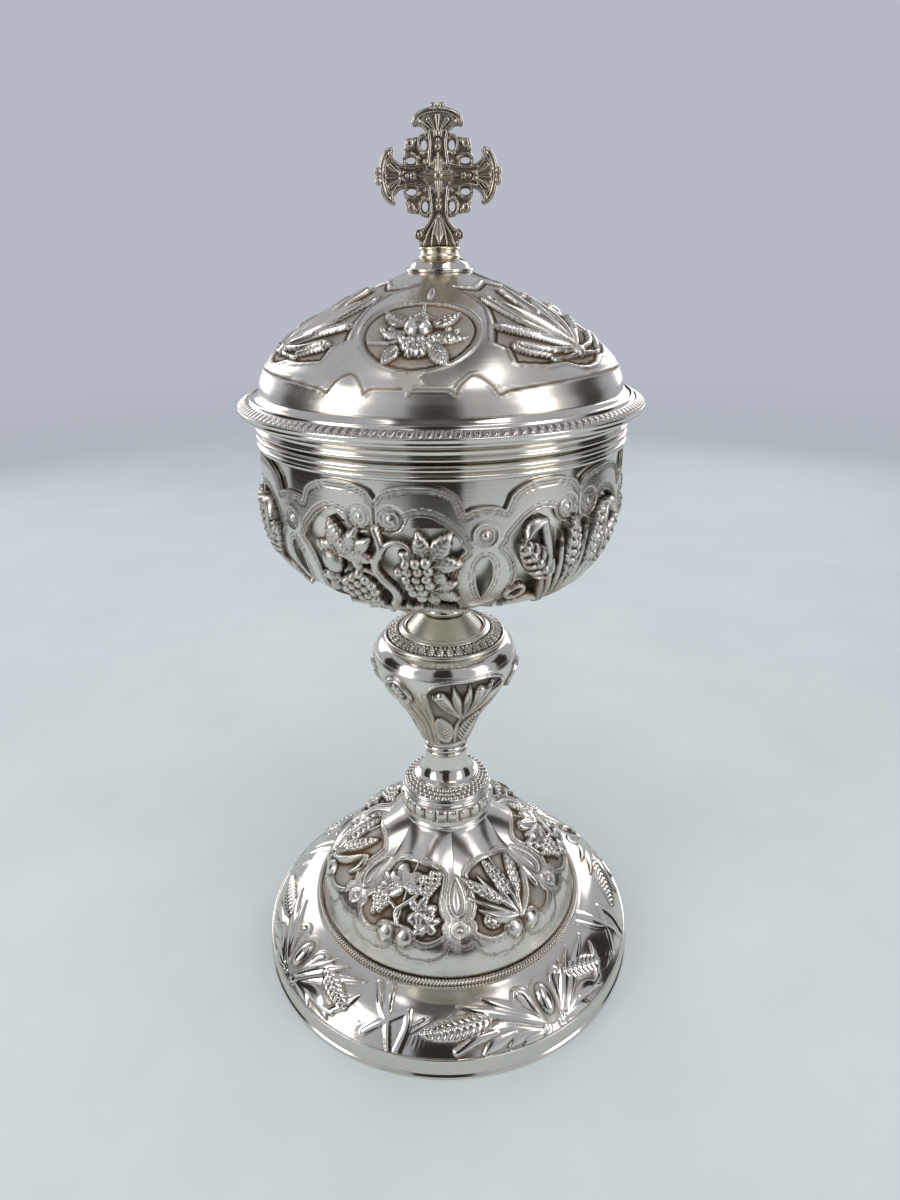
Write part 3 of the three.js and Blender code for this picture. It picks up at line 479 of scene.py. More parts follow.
def blade(path, width, rise):
    """A pointed leaf of grass with a ridge along its middle."""
    return strip(path, width, rise, 0.3, 0.02, 0.85, 0.3)


def cattail(path, width, rise):
    """A thick textured head on a path: rings of small beads and a bright bud at the end."""
    path = curve(path, 5 + 4 * len(path))
    length = along(path)[-1]

    def form(u, v):
        gap, share, side = followed(u, v, path)
        half = width / 2 * (0.75 + 0.35 * np.sin(np.pi * share))
        beads = 0.5 + 0.5 * np.cos(2 * np.pi * (share * length / 0.9 + 0.35 * side * gap))
        return rise * roll(gap, half) * (0.78 + 0.22 * beads), half - gap
    return form


def lobed_leaf(size, rise, lobes=5, spacing=52.0, teeth=3):
    """A vine leaf: toothed or round lobes about its foot, each with a raised vein.

    Within a lobe, off runs from 0 on its vein to 1 at the next fold. The outline shrinks with off
    and with a small saw for the teeth; folds and side veins are shallow lines on a cupped blade.
    """
    outer = (lobes - 1) // 2

    def form(u, v):
        distance = np.hypot(u, v)
        angle = np.degrees(np.arctan2(u, v))
        lobe = np.clip(np.round(angle / spacing), -outer, outer)
        off = np.abs((angle / spacing - lobe) * 2)
        saw = np.abs((off * teeth) % 1 - 0.5)
        notch = 0.4 * np.clip(off, 0, 1) ** (0.9 if teeth else 2.4) + (0.11 * saw if teeth else 0)
        outline = size * (1 - 0.13 * np.abs(lobe)) * (1 - notch)
        outline = np.where(off > 1, outline * np.clip(2.1 - off, 0.05, 1), outline)
        share = np.clip(distance / np.maximum(outline, 0.2), 0, 1)
        vein = 0.22 * np.exp(-(off * distance / (0.07 * size)) ** 2) * (1 - share)
        ribs = 0.07 * np.cos(2 * np.pi * (distance / (0.13 * size) - 1.3 * off))
        fold = 0.3 * np.clip(off, 0, 1) ** 3 * share
        body = (1 - share ** 9) * (0.62 + 0.45 * share ** 2 - fold) + vein + ribs
        return rise * body, (outline - distance) * 0.8
    return form


def berries(places, radius, rise):
    """Round berries at these places, each with its own slight height."""
    places = np.asarray(places, float)

    def form(u, v):
        best = np.zeros(np.shape(u))
        inside = np.full(np.shape(u), -9.0)
        for index, (x, y) in enumerate(places):
            out = np.hypot(u - x, v - y)
            lift = 0.25 * ((index * 7) % 5) / 5
            best = np.maximum(best, (rise + lift * rise) * roll(out, radius))
            inside = np.maximum(inside, radius - out)
        return best, inside
    return form


def bunch(rows, radius, rise):
    """A bunch of grapes: rows of berries set in the gaps of the row before, going ahead."""
    places = []
    for row, count in enumerate(rows):
        shift = 0.3 * radius * ((row * 5) % 3 - 1)
        for index in range(count):
            across = (index - (count - 1) / 2) * 1.8 * radius
            places.append((across + shift, row * 1.55 * radius))
    return berries(places, radius, rise)


def ear(length, width, rise, rows):
    """An ear of wheat: grains overlap like scales, two rows slanted outwards and one between.

    Along a grain the height grows from its foot to its tip, then drops to the foot of the next.
    """
    def form(u, v):
        share = np.clip(v / length, 0, 1)
        half = width / 2 * np.maximum(np.sin(np.pi * share ** 0.8) ** 0.5, 0.02)
        pitch = length / rows
        gap = np.abs(u)
        outer_grain = ((v - 1.15 * gap) / pitch) % 1
        outer = (0.35 + 0.65 * outer_grain) * roll((gap - 0.56 * half) / (0.46 * half), 1)
        middle_grain = ((v + 0.3 * gap) / pitch + 0.5) % 1
        middle = (0.6 + 0.5 * middle_grain) * roll(gap / (0.36 * half), 1)
        tips = roll(2 * outer_grain - 1, 1.02) ** 0.4, roll(2 * middle_grain - 1, 1.02) ** 0.4
        beyond = np.where((v < 0) | (v > length), -np.abs(v - length * share), 9)
        height = np.maximum(0.25 * roll(gap, half), np.maximum(0.85 * outer * tips[0], middle * tips[1]))
        return rise * height, np.minimum(half - gap, beyond)
    return form


def awns(length, spread, count, start):
    """Fine bristles that lean away from an ear's axis on both sides and rise a little."""
    def form(u, v):
        lean = np.tan(np.radians(spread))
        gap = np.abs(u)
        line = (gap / lean - v) * count / length
        near = np.abs(line - np.round(line))
        reach = 0.13 * length * roll(v - 0.5 * length, 0.5 * length)
        span = (v > start) & (gap < reach)
        return np.where(span, 0.13 * np.exp(-(near / 0.2) ** 2), 0), np.where(span, 0.24 - near, -1)
    return form


def fern(length, width, rise, ribs):
    """A leaf of slanted ribs on both sides of a midrib, with a pointed outline."""
    def form(u, v):
        share = np.clip(v / length, 0, 1)
        half = width / 2 * np.sin(np.pi * share ** 0.75) ** 0.7 + 0.05
        gap = np.abs(u)
        waves = 0.5 + 0.5 * np.cos(2 * np.pi * (v - 0.8 * gap) * ribs / length)
        rise_here = rise * (0.45 + 0.55 * waves) * roll(gap, 1.15 * half)
        beyond = np.where((v < 0) | (v > length), -np.abs(v - length * share), 9)
        return np.maximum(rise_here, rise * 1.05 * roll(gap, 0.3)), np.minimum(half - gap, beyond)
    return form


def scroll(radius, rise):
    """A volute seen flat: a polished disc, a dark groove round it and a wire round that."""
    def form(u, v):
        out = np.hypot(u, v)
        disc = roll(out, 0.72 * radius)
        wire = 0.8 * roll(out - 0.92 * radius, 0.14 * radius)
        return rise * np.maximum(disc, wire), 1.05 * radius - out
    return form


def moved(form, x, y, heading=0.0):
    """The form carried to a place and turned by a heading, in degrees clockwise from upwards."""
    turn = np.radians(heading)
    cos, sin = np.cos(turn), np.sin(turn)

    def carried(u, v):
        du, dv = u - x, v - y
        return form(du * cos - dv * sin, du * sin + dv * cos)
    return carried


class Relief:
    """The surface of a turned piece over one repeat of its ornament, unrolled.

    Rows follow the profile upwards and columns go round. The fields are the height over the
    profile, the share of matt ground, the tarnish, and how far inside the metal's edge a place is.
    """
    def __init__(self, line, columns, sector):
        self.line, self.columns, self.sector = line, columns, sector
        self.length = along(line)
        self.azimuth = np.arange(columns) * sector / columns
        shape = (len(line), columns)
        self.height, self.matt, self.tarnish = np.zeros(shape), np.zeros(shape), np.zeros(shape)
        self.metal = np.full(shape, -50.0)

    def level(self, z):
        return np.interp(z, self.line[:, 1], self.length)

    def around(self, azimuth, level, sector=None):
        """Millimetres to the right of a place and above it."""
        sector = sector or self.sector
        turn = (self.azimuth - azimuth + sector / 2) % sector - sector / 2
        across = np.radians(turn)[None, :] * self.line[:, :1]
        return across, np.broadcast_to((self.length - level)[:, None], across.shape)

    def put(self, form, azimuth, level, heading=0, base=0.0, matt=0.0, tarnish=0.0, span=30):
        """Raises a form on the surface: the greater height counts."""
        x, y = self.around(azimuth, level)
        near = (np.abs(x) < span) & (np.abs(y) < span)
        rise, inside = moved(form, 0, 0, heading)(x[near], y[near])
        solid = inside > 0
        self.height[near] = np.where(solid, np.maximum(self.height[near], base + rise), self.height[near])
        self.matt[near] = np.where(solid, matt, self.matt[near])
        self.tarnish[near] = np.where(solid, tarnish, self.tarnish[near])
        self.metal[near] = np.maximum(self.metal[near], inside)

    def lay(self, motif, azimuth, level, heading=0, drop=0.0, matt=0.0, tarnish=0.0, span=30):
        """Puts the forms of a motif at one place. Each comes with its base and may add its own tarnish."""
        for form, base, *own in motif:
            self.put(form, azimuth, level, heading, base - drop, matt, tarnish + sum(own), span)

    def sink(self, inside, depth, matt, soft=0.5):
        """Lowers a ground, where inside is above zero, behind a soft edge."""
        self.height -= depth * eased_step(inside, 0, soft)
        self.matt = np.maximum(self.matt, matt * eased_step(inside, 0, 0.25))

    def spread(self, field):
        """The field of one repeat, copied right round."""
        return np.tile(field, (1, round(360 / self.sector)))

    def cavity(self, near=2, far=7):
        """How deep each place lies under its neighbours, near and far, plus its own tarnish."""
        close, wide = softened(self.height, near), softened(self.height, far)
        depth = 1.5 * (close - self.height) + 0.9 * (wide - self.height)
        return np.clip(depth + self.tarnish, 0, 1)


def softened(field, cells):
    """The mean of a field over a square of cells; it closes on itself round the axis."""
    padded = np.pad(field, ((cells, cells), (0, 0)), mode="edge")
    shifts = range(-cells, cells + 1)
    rows = sum(padded[cells + shift:cells + shift + len(field)] for shift in shifts) / len(shifts)
    return sum(np.roll(rows, shift, axis=1) for shift in shifts) / len(shifts)


def embossed(name, relief, back, surface, swell=None):
    """A closed piece whose outside carries a relief.

    The relief's rows are moved along the surface's normal by their height. The back is the rest
    of the outline, from the top of the profile round to its foot, with no relief on it. A swell
    reshapes both before that.
    """
    count = relief.columns * round(360 / relief.sector)
    azimuths = np.arange(count) * 360 / count
    back = np.asarray(back, float)
    outside, rest = spun(relief.line, azimuths), spun(back, azimuths)
    if swell is not None:
        outside, rest = swell(outside, azimuths), swell(rest, azimuths)
    height = bpy.context.scene.ciborium_detail.relief * relief.spread(relief.height)
    raised = outside + normals_of(outside) * height[..., None]
    blank = np.zeros((len(back), count))
    channels = {"cavity": np.vstack([relief.spread(relief.cavity()), blank + 0.3]),
                "matt": np.vstack([relief.spread(relief.matt), blank])}
    return round_piece(name, np.concatenate([raised, rest]), surface, channels)


# Materials

BROWN_TARNISH = (0.27, 0.16, 0.08)
WARM_STAIN = (0.86, 0.72, 0.55)


class Nodes:
    """The node tree of a material or a world, cleared and built up again."""
    def __init__(self, owner):
        owner.use_nodes = True
        self.tree = owner.node_tree
        self.tree.nodes.clear()

    def add(self, kind, **inputs):
        """A node of this kind. In the name of an input, _ stands for a space."""
        node = self.tree.nodes.new(f"ShaderNode{kind}")
        for name, value in inputs.items():
            self.feed(node.inputs[name.replace("_", " ")], value)
        return node

    def feed(self, socket, value):
        """Links a socket to another node's output, or sets it to a value."""
        if isinstance(value, bpy.types.NodeSocket):
            self.tree.links.new(value, socket)
        else:
            socket.default_value = value

    def place(self):
        return self.add("TexCoord").outputs["Object"]

    def channel(self, name):
        node = self.add("Attribute")
        node.attribute_name = name
        return node.outputs["Fac"]

    def noise(self, place, scale, detail, roughness):
        node = self.add("TexNoise", Vector=place, Scale=scale, Detail=detail, Roughness=roughness)
        return node.outputs["Fac"]

    def stretched(self, place, scale):
        return self.add("Mapping", Vector=place, Scale=scale).outputs["Vector"]

    def calculate(self, operation, *values):
        node = self.add("Math")
        node.operation = operation
        for socket, value in zip(node.inputs, values):
            self.feed(socket, value)
        return node.outputs["Value"]

    def ranged(self, value, low, high):
        """The value as a share of the way from low to high, kept between 0 and 1."""
        return self.add("MapRange", Value=value, From_Min=low, From_Max=high).outputs["Result"]

    def mixed(self, share, first, second):
        """A mix of two colours."""
        node = self.add("Mix")
        node.data_type = "RGBA"
        self.feed(node.inputs["Factor"], share)
        self.feed(node.inputs[6], first)
        self.feed(node.inputs[7], second)
        return node.outputs[2]

    def blended(self, share, first, second):
        """A mix of two shaders."""
        node = self.add("MixShader", Fac=share)
        self.feed(node.inputs[1], first)
        self.feed(node.inputs[2], second)
        return node.outputs["Shader"]


def new_material(name):
    material = bpy.data.materials.new(name)
    return material, Nodes(material)


def silver_material(name, color, roughness, wear=0.25, scratches=0.012, brushed=0.0, stain=0.12):
    """Silver whose recesses keep tarnish, with a matt ground where the matt channel says so.

    Tarnish and ground raise the roughness as well.
    """
    material, nodes = new_material(name)
    place, matt = nodes.place(), nodes.channel("matt")
    clouds = nodes.noise(place, 90, 5, 0.6)
    dirt = dirt_mask(nodes, place, clouds, wear)
    rough = nodes.calculate("MULTIPLY_ADD", dirt, 0.38, roughness)
    rough = nodes.calculate("MULTIPLY_ADD", matt, 0.32, rough)
    rough = nodes.calculate("MULTIPLY_ADD", clouds, 0.05, rough)
    rise = silver_rise(nodes, place, matt, scratches, brushed)
    normal = nodes.add("Bump", Strength=1, Distance=MM, Height=rise).outputs["Normal"]
    shader = nodes.add("BsdfPrincipled", Metallic=1, Roughness=rough, Normal=normal,
                       Base_Color=silver_color(nodes, place, color, dirt, matt, stain))
    nodes.add("OutputMaterial", Surface=shader.outputs["BSDF"])
    return material


def dirt_mask(nodes, place, clouds, wear):
    """The share of tarnish: the piece's cavity channel, broken up by large and small noise."""
    spots = nodes.noise(place, 900, 3, 0.6)
    dirt = nodes.calculate("MULTIPLY_ADD", clouds, wear, nodes.channel("cavity"))
    dirt = nodes.calculate("MULTIPLY_ADD", spots, 0.4 * wear, dirt)
    dirt = nodes.calculate("SUBTRACT", dirt, 0.7 * wear)
    return nodes.ranged(dirt, 0.0, 0.85)


def silver_color(nodes, place, color, dirt, matt, stain):
    """Clean silver with faint warm clouds and a grey matt ground, under tarnish that is brown in patches."""
    colors = bpy.context.scene.ciborium_finish
    stains = nodes.ranged(nodes.noise(place, 34, 4, 0.65), 0.52, 0.72)
    stains = nodes.calculate("MULTIPLY", stains, stain)
    warm = tuple(share * value for share, value in zip(WARM_STAIN, color))
    clean = nodes.mixed(stains, (*color, 1), (*warm, 1))
    ground = nodes.mixed(matt, clean, (*colors.matt, 1))
    patches = nodes.ranged(nodes.noise(place, 55, 3, 0.5), 0.5, 0.68)
    tarnished = nodes.mixed(patches, (*colors.tarnish, 1), (*BROWN_TARNISH, 1))
    return nodes.mixed(dirt, ground, tarnished)


def silver_rise(nodes, place, matt, scratches, brushed):
    """Fine wiping marks round the piece, streaks up and down it if brushed, and a stippled matt ground."""
    wiping = nodes.noise(nodes.stretched(place, (60, 60, 2200)), 1, 3, 0.5)
    rise = nodes.calculate("MULTIPLY", wiping, scratches)
    if brushed:
        streaks = nodes.noise(nodes.stretched(place, (2400, 2400, 90)), 1, 2, 0.5)
        rise = nodes.calculate("MULTIPLY_ADD", streaks, brushed, rise)
    stipple = nodes.calculate("MULTIPLY", nodes.noise(place, 2600, 2, 0.5), matt)
    return nodes.calculate("MULTIPLY_ADD", stipple, 0.16, rise)


def finish(name):
    """The material of that name, made the first time it is asked for."""
    found = bpy.data.materials.get(name)
    if found:
        return found
    colors = bpy.context.scene.ciborium_finish
    silver, gilt, polish = tuple(colors.silver), tuple(colors.gilt), colors.polish
    made = {
        "polished silver": dict(color=silver, roughness=polish, wear=0.2),
        "chased silver": dict(color=silver, roughness=polish + 0.1, wear=0.45, stain=0.3),
        "satin silver": dict(color=(0.66, 0.61, 0.51), roughness=polish + 0.1, wear=0.4, brushed=0.1),
        # Paler than the other silver: painted light on the cup wall behind the basket, where the basket
        # shades it
        "silver with painted light": dict(color=(0.90, 0.88, 0.79), roughness=polish + 0.3, wear=0.2, scratches=0.03),
        "oxidised silver": dict(color=(0.50, 0.445, 0.37), roughness=0.21, wear=0.8, stain=0.5),
        "pale gilding": dict(color=(0.80, 0.71, 0.52), roughness=0.2, wear=0.3),
        "gilding": dict(color=gilt, roughness=0.22, wear=0.25),
        "turned steel": dict(color=(0.40, 0.41, 0.42), roughness=0.36, wear=0.6, scratches=0.05),
    }
    return silver_material(name, **made[name])


# Pieces

class BuildFootRim(bpy.types.Operator):
    """Turns the foot's band, chases the skirt over it and lays the milled wire on top"""
    bl_idname = "ciborium.foot_rim"
    bl_label = "Foot rim"

    def execute(self, context):
        high, radius = extent("foot_band")[1:]
        lip, bead, step = 4, 1.6, 0.7
        upper = radius - step
        inside = upper - SHEET - step
        turned("foot_band", eased([
            (radius - lip, 0), (radius, 0), (radius, 0.6 * bead), (upper, bead),
            (upper, high), (inside, high), (inside, 1), (radius - lip, 1),
        ]))

        low, high, radius = extent("foot_skirt")
        outer = bend((radius, low), (DOME_RIM + 3, high), [(0.268, 0.447), (0.62, 0.8)], 56)
        inner = beside(outer, SHEET)[::-5]
        inner[-1, 1] = low
        hole = outer[-1, 0] - 5.4
        relief = Relief(outer, 260, 90)
        chase_skirt(relief)
        embossed("foot_skirt", relief, np.vstack([[(hole, high), (hole, high - SHEET)], inner]),
                 "polished silver")
        mill_wire()
        return {"FINISHED"}


def mill_wire():
    """The wire in the corner of skirt and dome, with slanted cuts and a groove along its top."""
    low, high, radius = extent("milled_wire")
    wire, cuts, rows = (high - low) / 2, 270, 14
    centre = (radius - wire, low + wire)
    milling = Relief(arc(centre, wire, -40, 200, rows), 6, 360 / cuts)
    across, up = milling.around(0, milling.length[rows // 2])
    share = np.broadcast_to(milling.azimuth / milling.sector, across.shape)
    cut = np.cos(2 * np.pi * (share + 0.35 * np.abs(up)))
    milling.height += 0.2 * cut - 0.2
    milling.tarnish += 0.14 * (1 - cut)
    milling.height -= 0.12 * np.exp(-(up / 0.15) ** 2)
    embossed("milled_wire", milling, arc(centre, wire, 215, 305, 4), "polished silver")


def chase_skirt(relief):
    """One quarter of the skirt: a cabochon between scrolls, leaves to both sides, then ribbons.

    The scrolls and leaves are lowered together, because they lie flat on the skirt.
    """
    cabochon, ribbons, middle = 31, -20, relief.length[-1] * 0.47
    for side in (-1, 1):
        arm = strip([(side * 3.4, -6), (side * 4.6, 0),
                     (side * 5.6, 5), (side * 8.4, 6.2), (side * 10.2, 4)],
                    2.4, 0.7, 0.7, 0.8, 0.2)
        relief.put(arm, cabochon, middle)
        relief.put(moved(bump(2.0, 2.9, 0.25), side * 10.2, 1.6), cabochon, middle, matt=0.85)
        relief.put(moved(scroll(1.9, 0.8), side * 3.4, -8), cabochon, middle)
    for form in skirt_leaves():
        relief.put(form, cabochon, middle, span=60)
    relief.height *= 0.62
    for form in skirt_ribbons():
        relief.put(form, ribbons, middle)
    relief.put(bump(5.0, 7.6, 0.35), cabochon, middle, matt=0.8)
    relief.put(moved(bump(2.5, 5.0, 1.7), 0, 0.4), cabochon, middle, base=0.3)


def skirt_leaves():
    """Grass, reeds and one ear of wheat to either side of a cabochon."""
    left = (
        blade([(-4, -5), (-12, 1.5), (-21, 7.5)], 3.9, 0.8),
        blade([(-4, -5.5), (-15, 0.5), (-29, 5.5)], 4.2, 0.9),
        strip([(-5, -6), (-13, -1), (-21, 0.8)], 1.0, 0.6),
        blade([(-6, -7), (-18, -3), (-30, -6.5)], 3.9, 0.8),
        cattail([(-20, -3.6), (-27, -4.6), (-35, -8)], 2.6, 1.5),
        blade([(-5, -7.5), (-12, -6.5), (-18, -9)], 4.8, 0.9),
        blade([(-5, -8.4), (-10, -8.6), (-13, -9.8)], 3.6, 0.9),
        blade([(-14, -5), (-22, -7), (-27, -9.6)], 3.9, 0.9),
    )
    right = (
        blade([(4, -5), (9, 1.5), (12, 8)], 3.6, 0.8),
        blade([(4, -5.5), (12, 3.5), (18, 8.8)], 3.9, 0.9),
        strip([(5, -6), (9, -1), (12, 3.4)], 1.0, 0.6),
        blade([(6, -6.5), (16, 2.5), (27, 7.5)], 3.6, 0.8),
        blade([(6, -7), (16, -5), (25, -8.8)], 4.5, 0.9),
        cattail([(13, -5.5), (19, -6.5), (25, -6.2)], 2.4, 1.4),
        blade([(5, -7.5), (11, -7.5), (16, -9.8)], 4.2, 0.9),
        blade([(22, -8), (27, -2), (29, 3)], 3.3, 0.8),
    )
    ears = (
        moved(awns(34, 20, 22, 6), -19.5, 0.6, -99), moved(ear(25, 6.6, 2.1, 11), -20, 0.7, -99),
        moved(awns(26, 20, 18, 5), 12, 3.5, 112), moved(ear(18, 6, 2.0, 8), 12, 3.6, 112),
    )
    return (*left, *right, *ears)


def skirt_ribbons():
    """Flat crossed ribbons between two cabochons."""
    return (
        strip([(-2, 9.4), (-0.6, 2), (2.6, -9.4)], 3.0, 0.3, 1.2, 0.6),
        strip([(-7, -6.6), (-1, -1.6), (6.4, 3.2)], 2.6, 0.3, 0.8, 0.9),
        strip([(6.4, 3.2), (7.2, -2), (5.6, -9)], 2.8, 0.3, 0.8, 1.0),
        strip([(-6, 9), (-3.6, 3), (-0.4, -1)], 2.4, 0.3, 1.0, 0.6),
    )


class BuildFootDome(bpy.types.Operator):
    """Raises the six lobes of the foot and chases a cartouche on each"""
    bl_idname = "ciborium.foot_dome"
    bl_label = "Foot dome"

    def execute(self, context):
        low, high = extent("foot_dome")[:2]
        plinth = 2.3
        stops = [(0.136, 0.29), (0.438, 0.465), (0.77, 0.683), (0.967, 0.93)]
        rise = bend((DOME_RIM, low + plinth), (DOME_NECK, high), stops, 400)
        line = evenly(np.vstack([[(DOME_RIM, low)], rise]), 124)
        under = high - SHEET
        inner = beside(rise[::20], SHEET)[::-1]
        back = np.vstack([[(ROD_HOLE, high), (ROD_HOLE, under), (DOME_NECK - SHEET, under)],
                          inner[1:], [(DOME_RIM - SHEET, low)]])
        relief = Relief(line, 216, 120)
        arch_tops, panel_half = relief.level(low + 8.8) - 3.0, 24.1
        cartouches(relief, FOOT_WHEAT, arch_tops, 1, panel_half / PANEL_HALF, FOOT_PILLARS, False)
        cusp = arch_tops + 4
        relief.lay(vine_on_foot(), FOOT_WHEAT - 60, cusp, drop=0.5, tarnish=0.1)
        relief.lay(wheat_on_foot(), FOOT_WHEAT, cusp, drop=0.5, tarnish=0.1)
        embossed("foot_dome", relief, back, "chased silver", lobes)
        return {"FINISHED"}


def lobes(points, azimuths):
    """Swells the rows of a turned piece into six lobes.

    The swelling is largest about half way to the neck and on the middle of a lobe, none at both
    ends and between two lobes, and goes outwards and upwards alike.
    """
    r = np.hypot(points[..., 0], points[..., 1])
    share = np.clip((DOME_RIM - r) / (DOME_RIM - DOME_NECK), 0, 1)
    lobe = np.sqrt((1 + np.cos(6 * np.radians(azimuths - FOOT_WHEAT))) / 2)[None, :]
    outward = 5.4 * np.sin(np.pi * share ** 1.2) * lobe / np.sqrt(2)
    scale = 1 + outward / np.maximum(r, 1)
    return np.stack([points[..., 0] * scale, points[..., 1] * scale, points[..., 2] + outward], axis=-1)


# Depths from the arch tops, and half the width there of the pillar between two windows
FOOT_PILLARS = ((14, 6.8), (15.6, 6.4), (16.9, 5.2), (18.6, 6.2), (21, 7.0), (24, 7.0),
                (28, 6.0), (32, 5.0), (35, 4.6), (37, 6.0))
BASKET_PILLARS = ((14, 6.8), (15.6, 6.4), (16.9, 5.2), (18.6, 6.9), (21, 8.2), (24, 8.9), (28, 8.8),
                  (32, 7.6), (36, 5.8), (40, 4.4), (43, 4.2), (45, 5.5))


def cartouches(relief, centre, arch_tops, inward, scale, pillars, open_work):
    """The frame of the six cartouches: scalloped edge, ribbons, volutes, bosses and teardrops.

    Everything is measured from a panel's middle and from the tops of its two arches, in
    millimetres of the basket; scale is the size on this piece. Inward is -1 where the panels
    hang from their arches and 1 where they stand on them.
    """
    x, y = relief.around(centre, arch_tops, 60)
    across, depth = np.abs(x) / scale, inward * y / scale
    half = np.pi * relief.line[:, :1] / 6 / scale
    edge_gap = scalloped_edge(PANEL_HALF * (across / half), depth)
    window = region(across, depth, window_outline(relief, arch_tops, inward, scale, pillars))
    tear = region(half - across, depth, teardrop())

    for out in (-window, edge_gap, -tear) if open_work else (-window, edge_gap):
        relief.height += 0.12 * roll(out - 0.3, 0.32) - 0.16 * roll(out - 0.8, 0.17)
        relief.height -= 0.16 * roll(out - 1.7, 0.17)
        relief.tarnish += 0.35 * (roll(out - 0.8, 0.25) + roll(out - 1.7, 0.2))
    hatched = eased_band(edge_gap, 0.85, 0.95, 1.5, 1.6)
    relief.height += hatched * 0.06 * np.cos(2 * np.pi * (x + y) / 1.1)
    relief.matt += 0.5 * hatched
    relief.matt += 0.5 * eased_band(-window, 0.85, 0.95, 1.5, 1.6)

    volute_side, volute_depth, boss_depth = 4.3, 8.9, 13.3
    volutes(relief, across - volute_side, depth - volute_depth, open_work)
    relief.height -= 0.3 * roll(across, 0.35) * eased_band(depth, 4.4, 5.2, 12.2, 12.8)
    boss = np.hypot(half - across, depth - boss_depth)
    relief.height += 0.2 * roll(boss - 3.3, 0.4) + 0.7 * roll(boss, 1.05)
    relief.height -= 0.16 * roll(boss - 2.7, 0.2) + 0.2 * roll(boss - 1.6, 0.5)

    if open_work:
        relief.metal = np.minimum.reduce([-window, edge_gap, -tear])
    else:
        relief.height += 0.45 * roll(np.abs(tear + 0.9), 0.8) + 0.3 * eased_step(tear, 0.3, 1.2)
        beyond = eased_step(-edge_gap, 0, 0.3)
        relief.height = relief.height * (1 - beyond) - 0.12 * beyond * roll(edge_gap, 0.5)
        relief.matt *= 1 - beyond
        relief.sink(window, 0.7, 0.75, 0.6)
        relief.tarnish += 0.06 * eased_step(window, 0, 1.5)


def scalloped_edge(across, depth):
    """How far inside the scalloped edge each place is: an arch, then a low saddle over the pillar."""
    saddle = PANEL_HALF - 5.2
    t = np.linspace(-1, 1, 17)
    drop = np.where(t < 0, 4.1, 6.9)
    arch = np.column_stack([saddle * (1 + t) / 2, drop * (1 - np.sqrt(1 - np.abs(t) ** 2.2))])
    scallops = np.vstack([arch, [(saddle + 1.6, 6.1), (saddle + 3.4, 5.8), (PANEL_HALF, 5.7)]])
    gap = followed(across, depth, scallops)[0]
    inside = depth > np.interp(across, scallops[:, 0], scallops[:, 1])
    return np.where(inside, gap, -gap)


def window_outline(relief, arch_tops, inward, scale, pillars):
    """The right half of a window: its head round the volute, the side of the pillar, and its foot."""
    head = [(0, 13.2), (2.2, 12.9), (4.6, 13.1), (6.9, 12.1), (8.2, 10.3), (8.6, 8.8),
            (10.4, 8.1), (12.5, 7.8), (15, 8.3), (17.6, 9.8), (19.6, 11.8)]
    depths, widths = np.array(pillars).T
    radius = np.interp(arch_tops + inward * scale * depths, relief.length, relief.line[:, 0])
    side = np.column_stack([np.pi * radius / 6 / scale - widths, depths])
    last = side[-1]
    foot = [(0.55 * last[0], last[1] + 1.6), (0, last[1] + 2)]
    return np.vstack([head, side, foot])


def teardrop():
    """The drop on a pillar, measured from the pillar's middle and from the arch tops."""
    start, length, half = 19.4, 14.0, 2.3
    turn = np.linspace(0, 2 * np.pi, 22, endpoint=False)
    return np.column_stack([1.3 * half * np.sin(turn) * np.sin(turn / 2),
                            start + length * (1 + np.cos(turn)) / 2])


def volutes(relief, to_side, to_edge, open_work):
    """The volutes between two arches: flat with an engraved spiral, or raised like a loop."""
    out = np.hypot(to_side, to_edge)
    if open_work:
        turns = np.arctan2(to_edge, to_side) / (2 * np.pi) + 0.25
        for lap in range(3):
            relief.height -= 0.2 * roll(out - 1.15 * (turns + lap) - 0.3, 0.22) * (out < 3.2)
        relief.height += 0.35 * roll(out, 0.7)
    else:
        relief.height += 1.35 * roll(np.hypot(to_side, to_edge / 1.15), 3.5)
    relief.height -= 0.22 * roll(out - 3.3, 0.22)


def vine_on_foot():
    """Grapes and leaves on a winding stem, growing from the cusp of a cartouche to the neck."""
    return (
        (strip([(0, 7), (-1.5, 11), (1.5, 15), (4, 19), (2.5, 23.5), (-1, 24)], 1.6, 1.3, 1, 0.5), 0.2),
        (strip([(-1, 11), (-4, 13), (-7, 12.5)], 1.2, 1.0), 0.2),
        (moved(lobed_leaf(8.5, 1.5, teeth=0), -1, 19, -25), 0.3),
        (moved(lobed_leaf(6.5, 1.4, teeth=0), 5, 12.5, 70), 0.3),
        (moved(lobed_leaf(6, 1.3, teeth=0), -6, 18, -60), 0.2),
        (moved(lobed_leaf(5.5, 1.3, teeth=0), 9, 9.5, 130), 0.2),
        (moved(bunch([3, 4, 3, 2, 1], 1.15, 1.1), -8, 14.5, 192), 0.7),
        (moved(bunch([2, 3, 3, 2, 2, 1], 1.1, 1.1), 6.2, 26, 178), 0.7),
        (moved(bump(1.6, 2.3, 1.4), 4.6, 10.6, 40), 0.4),
        (moved(bump(1.5, 2.0, 1.4), 7.6, 6.4, 60), 0.4),
    )


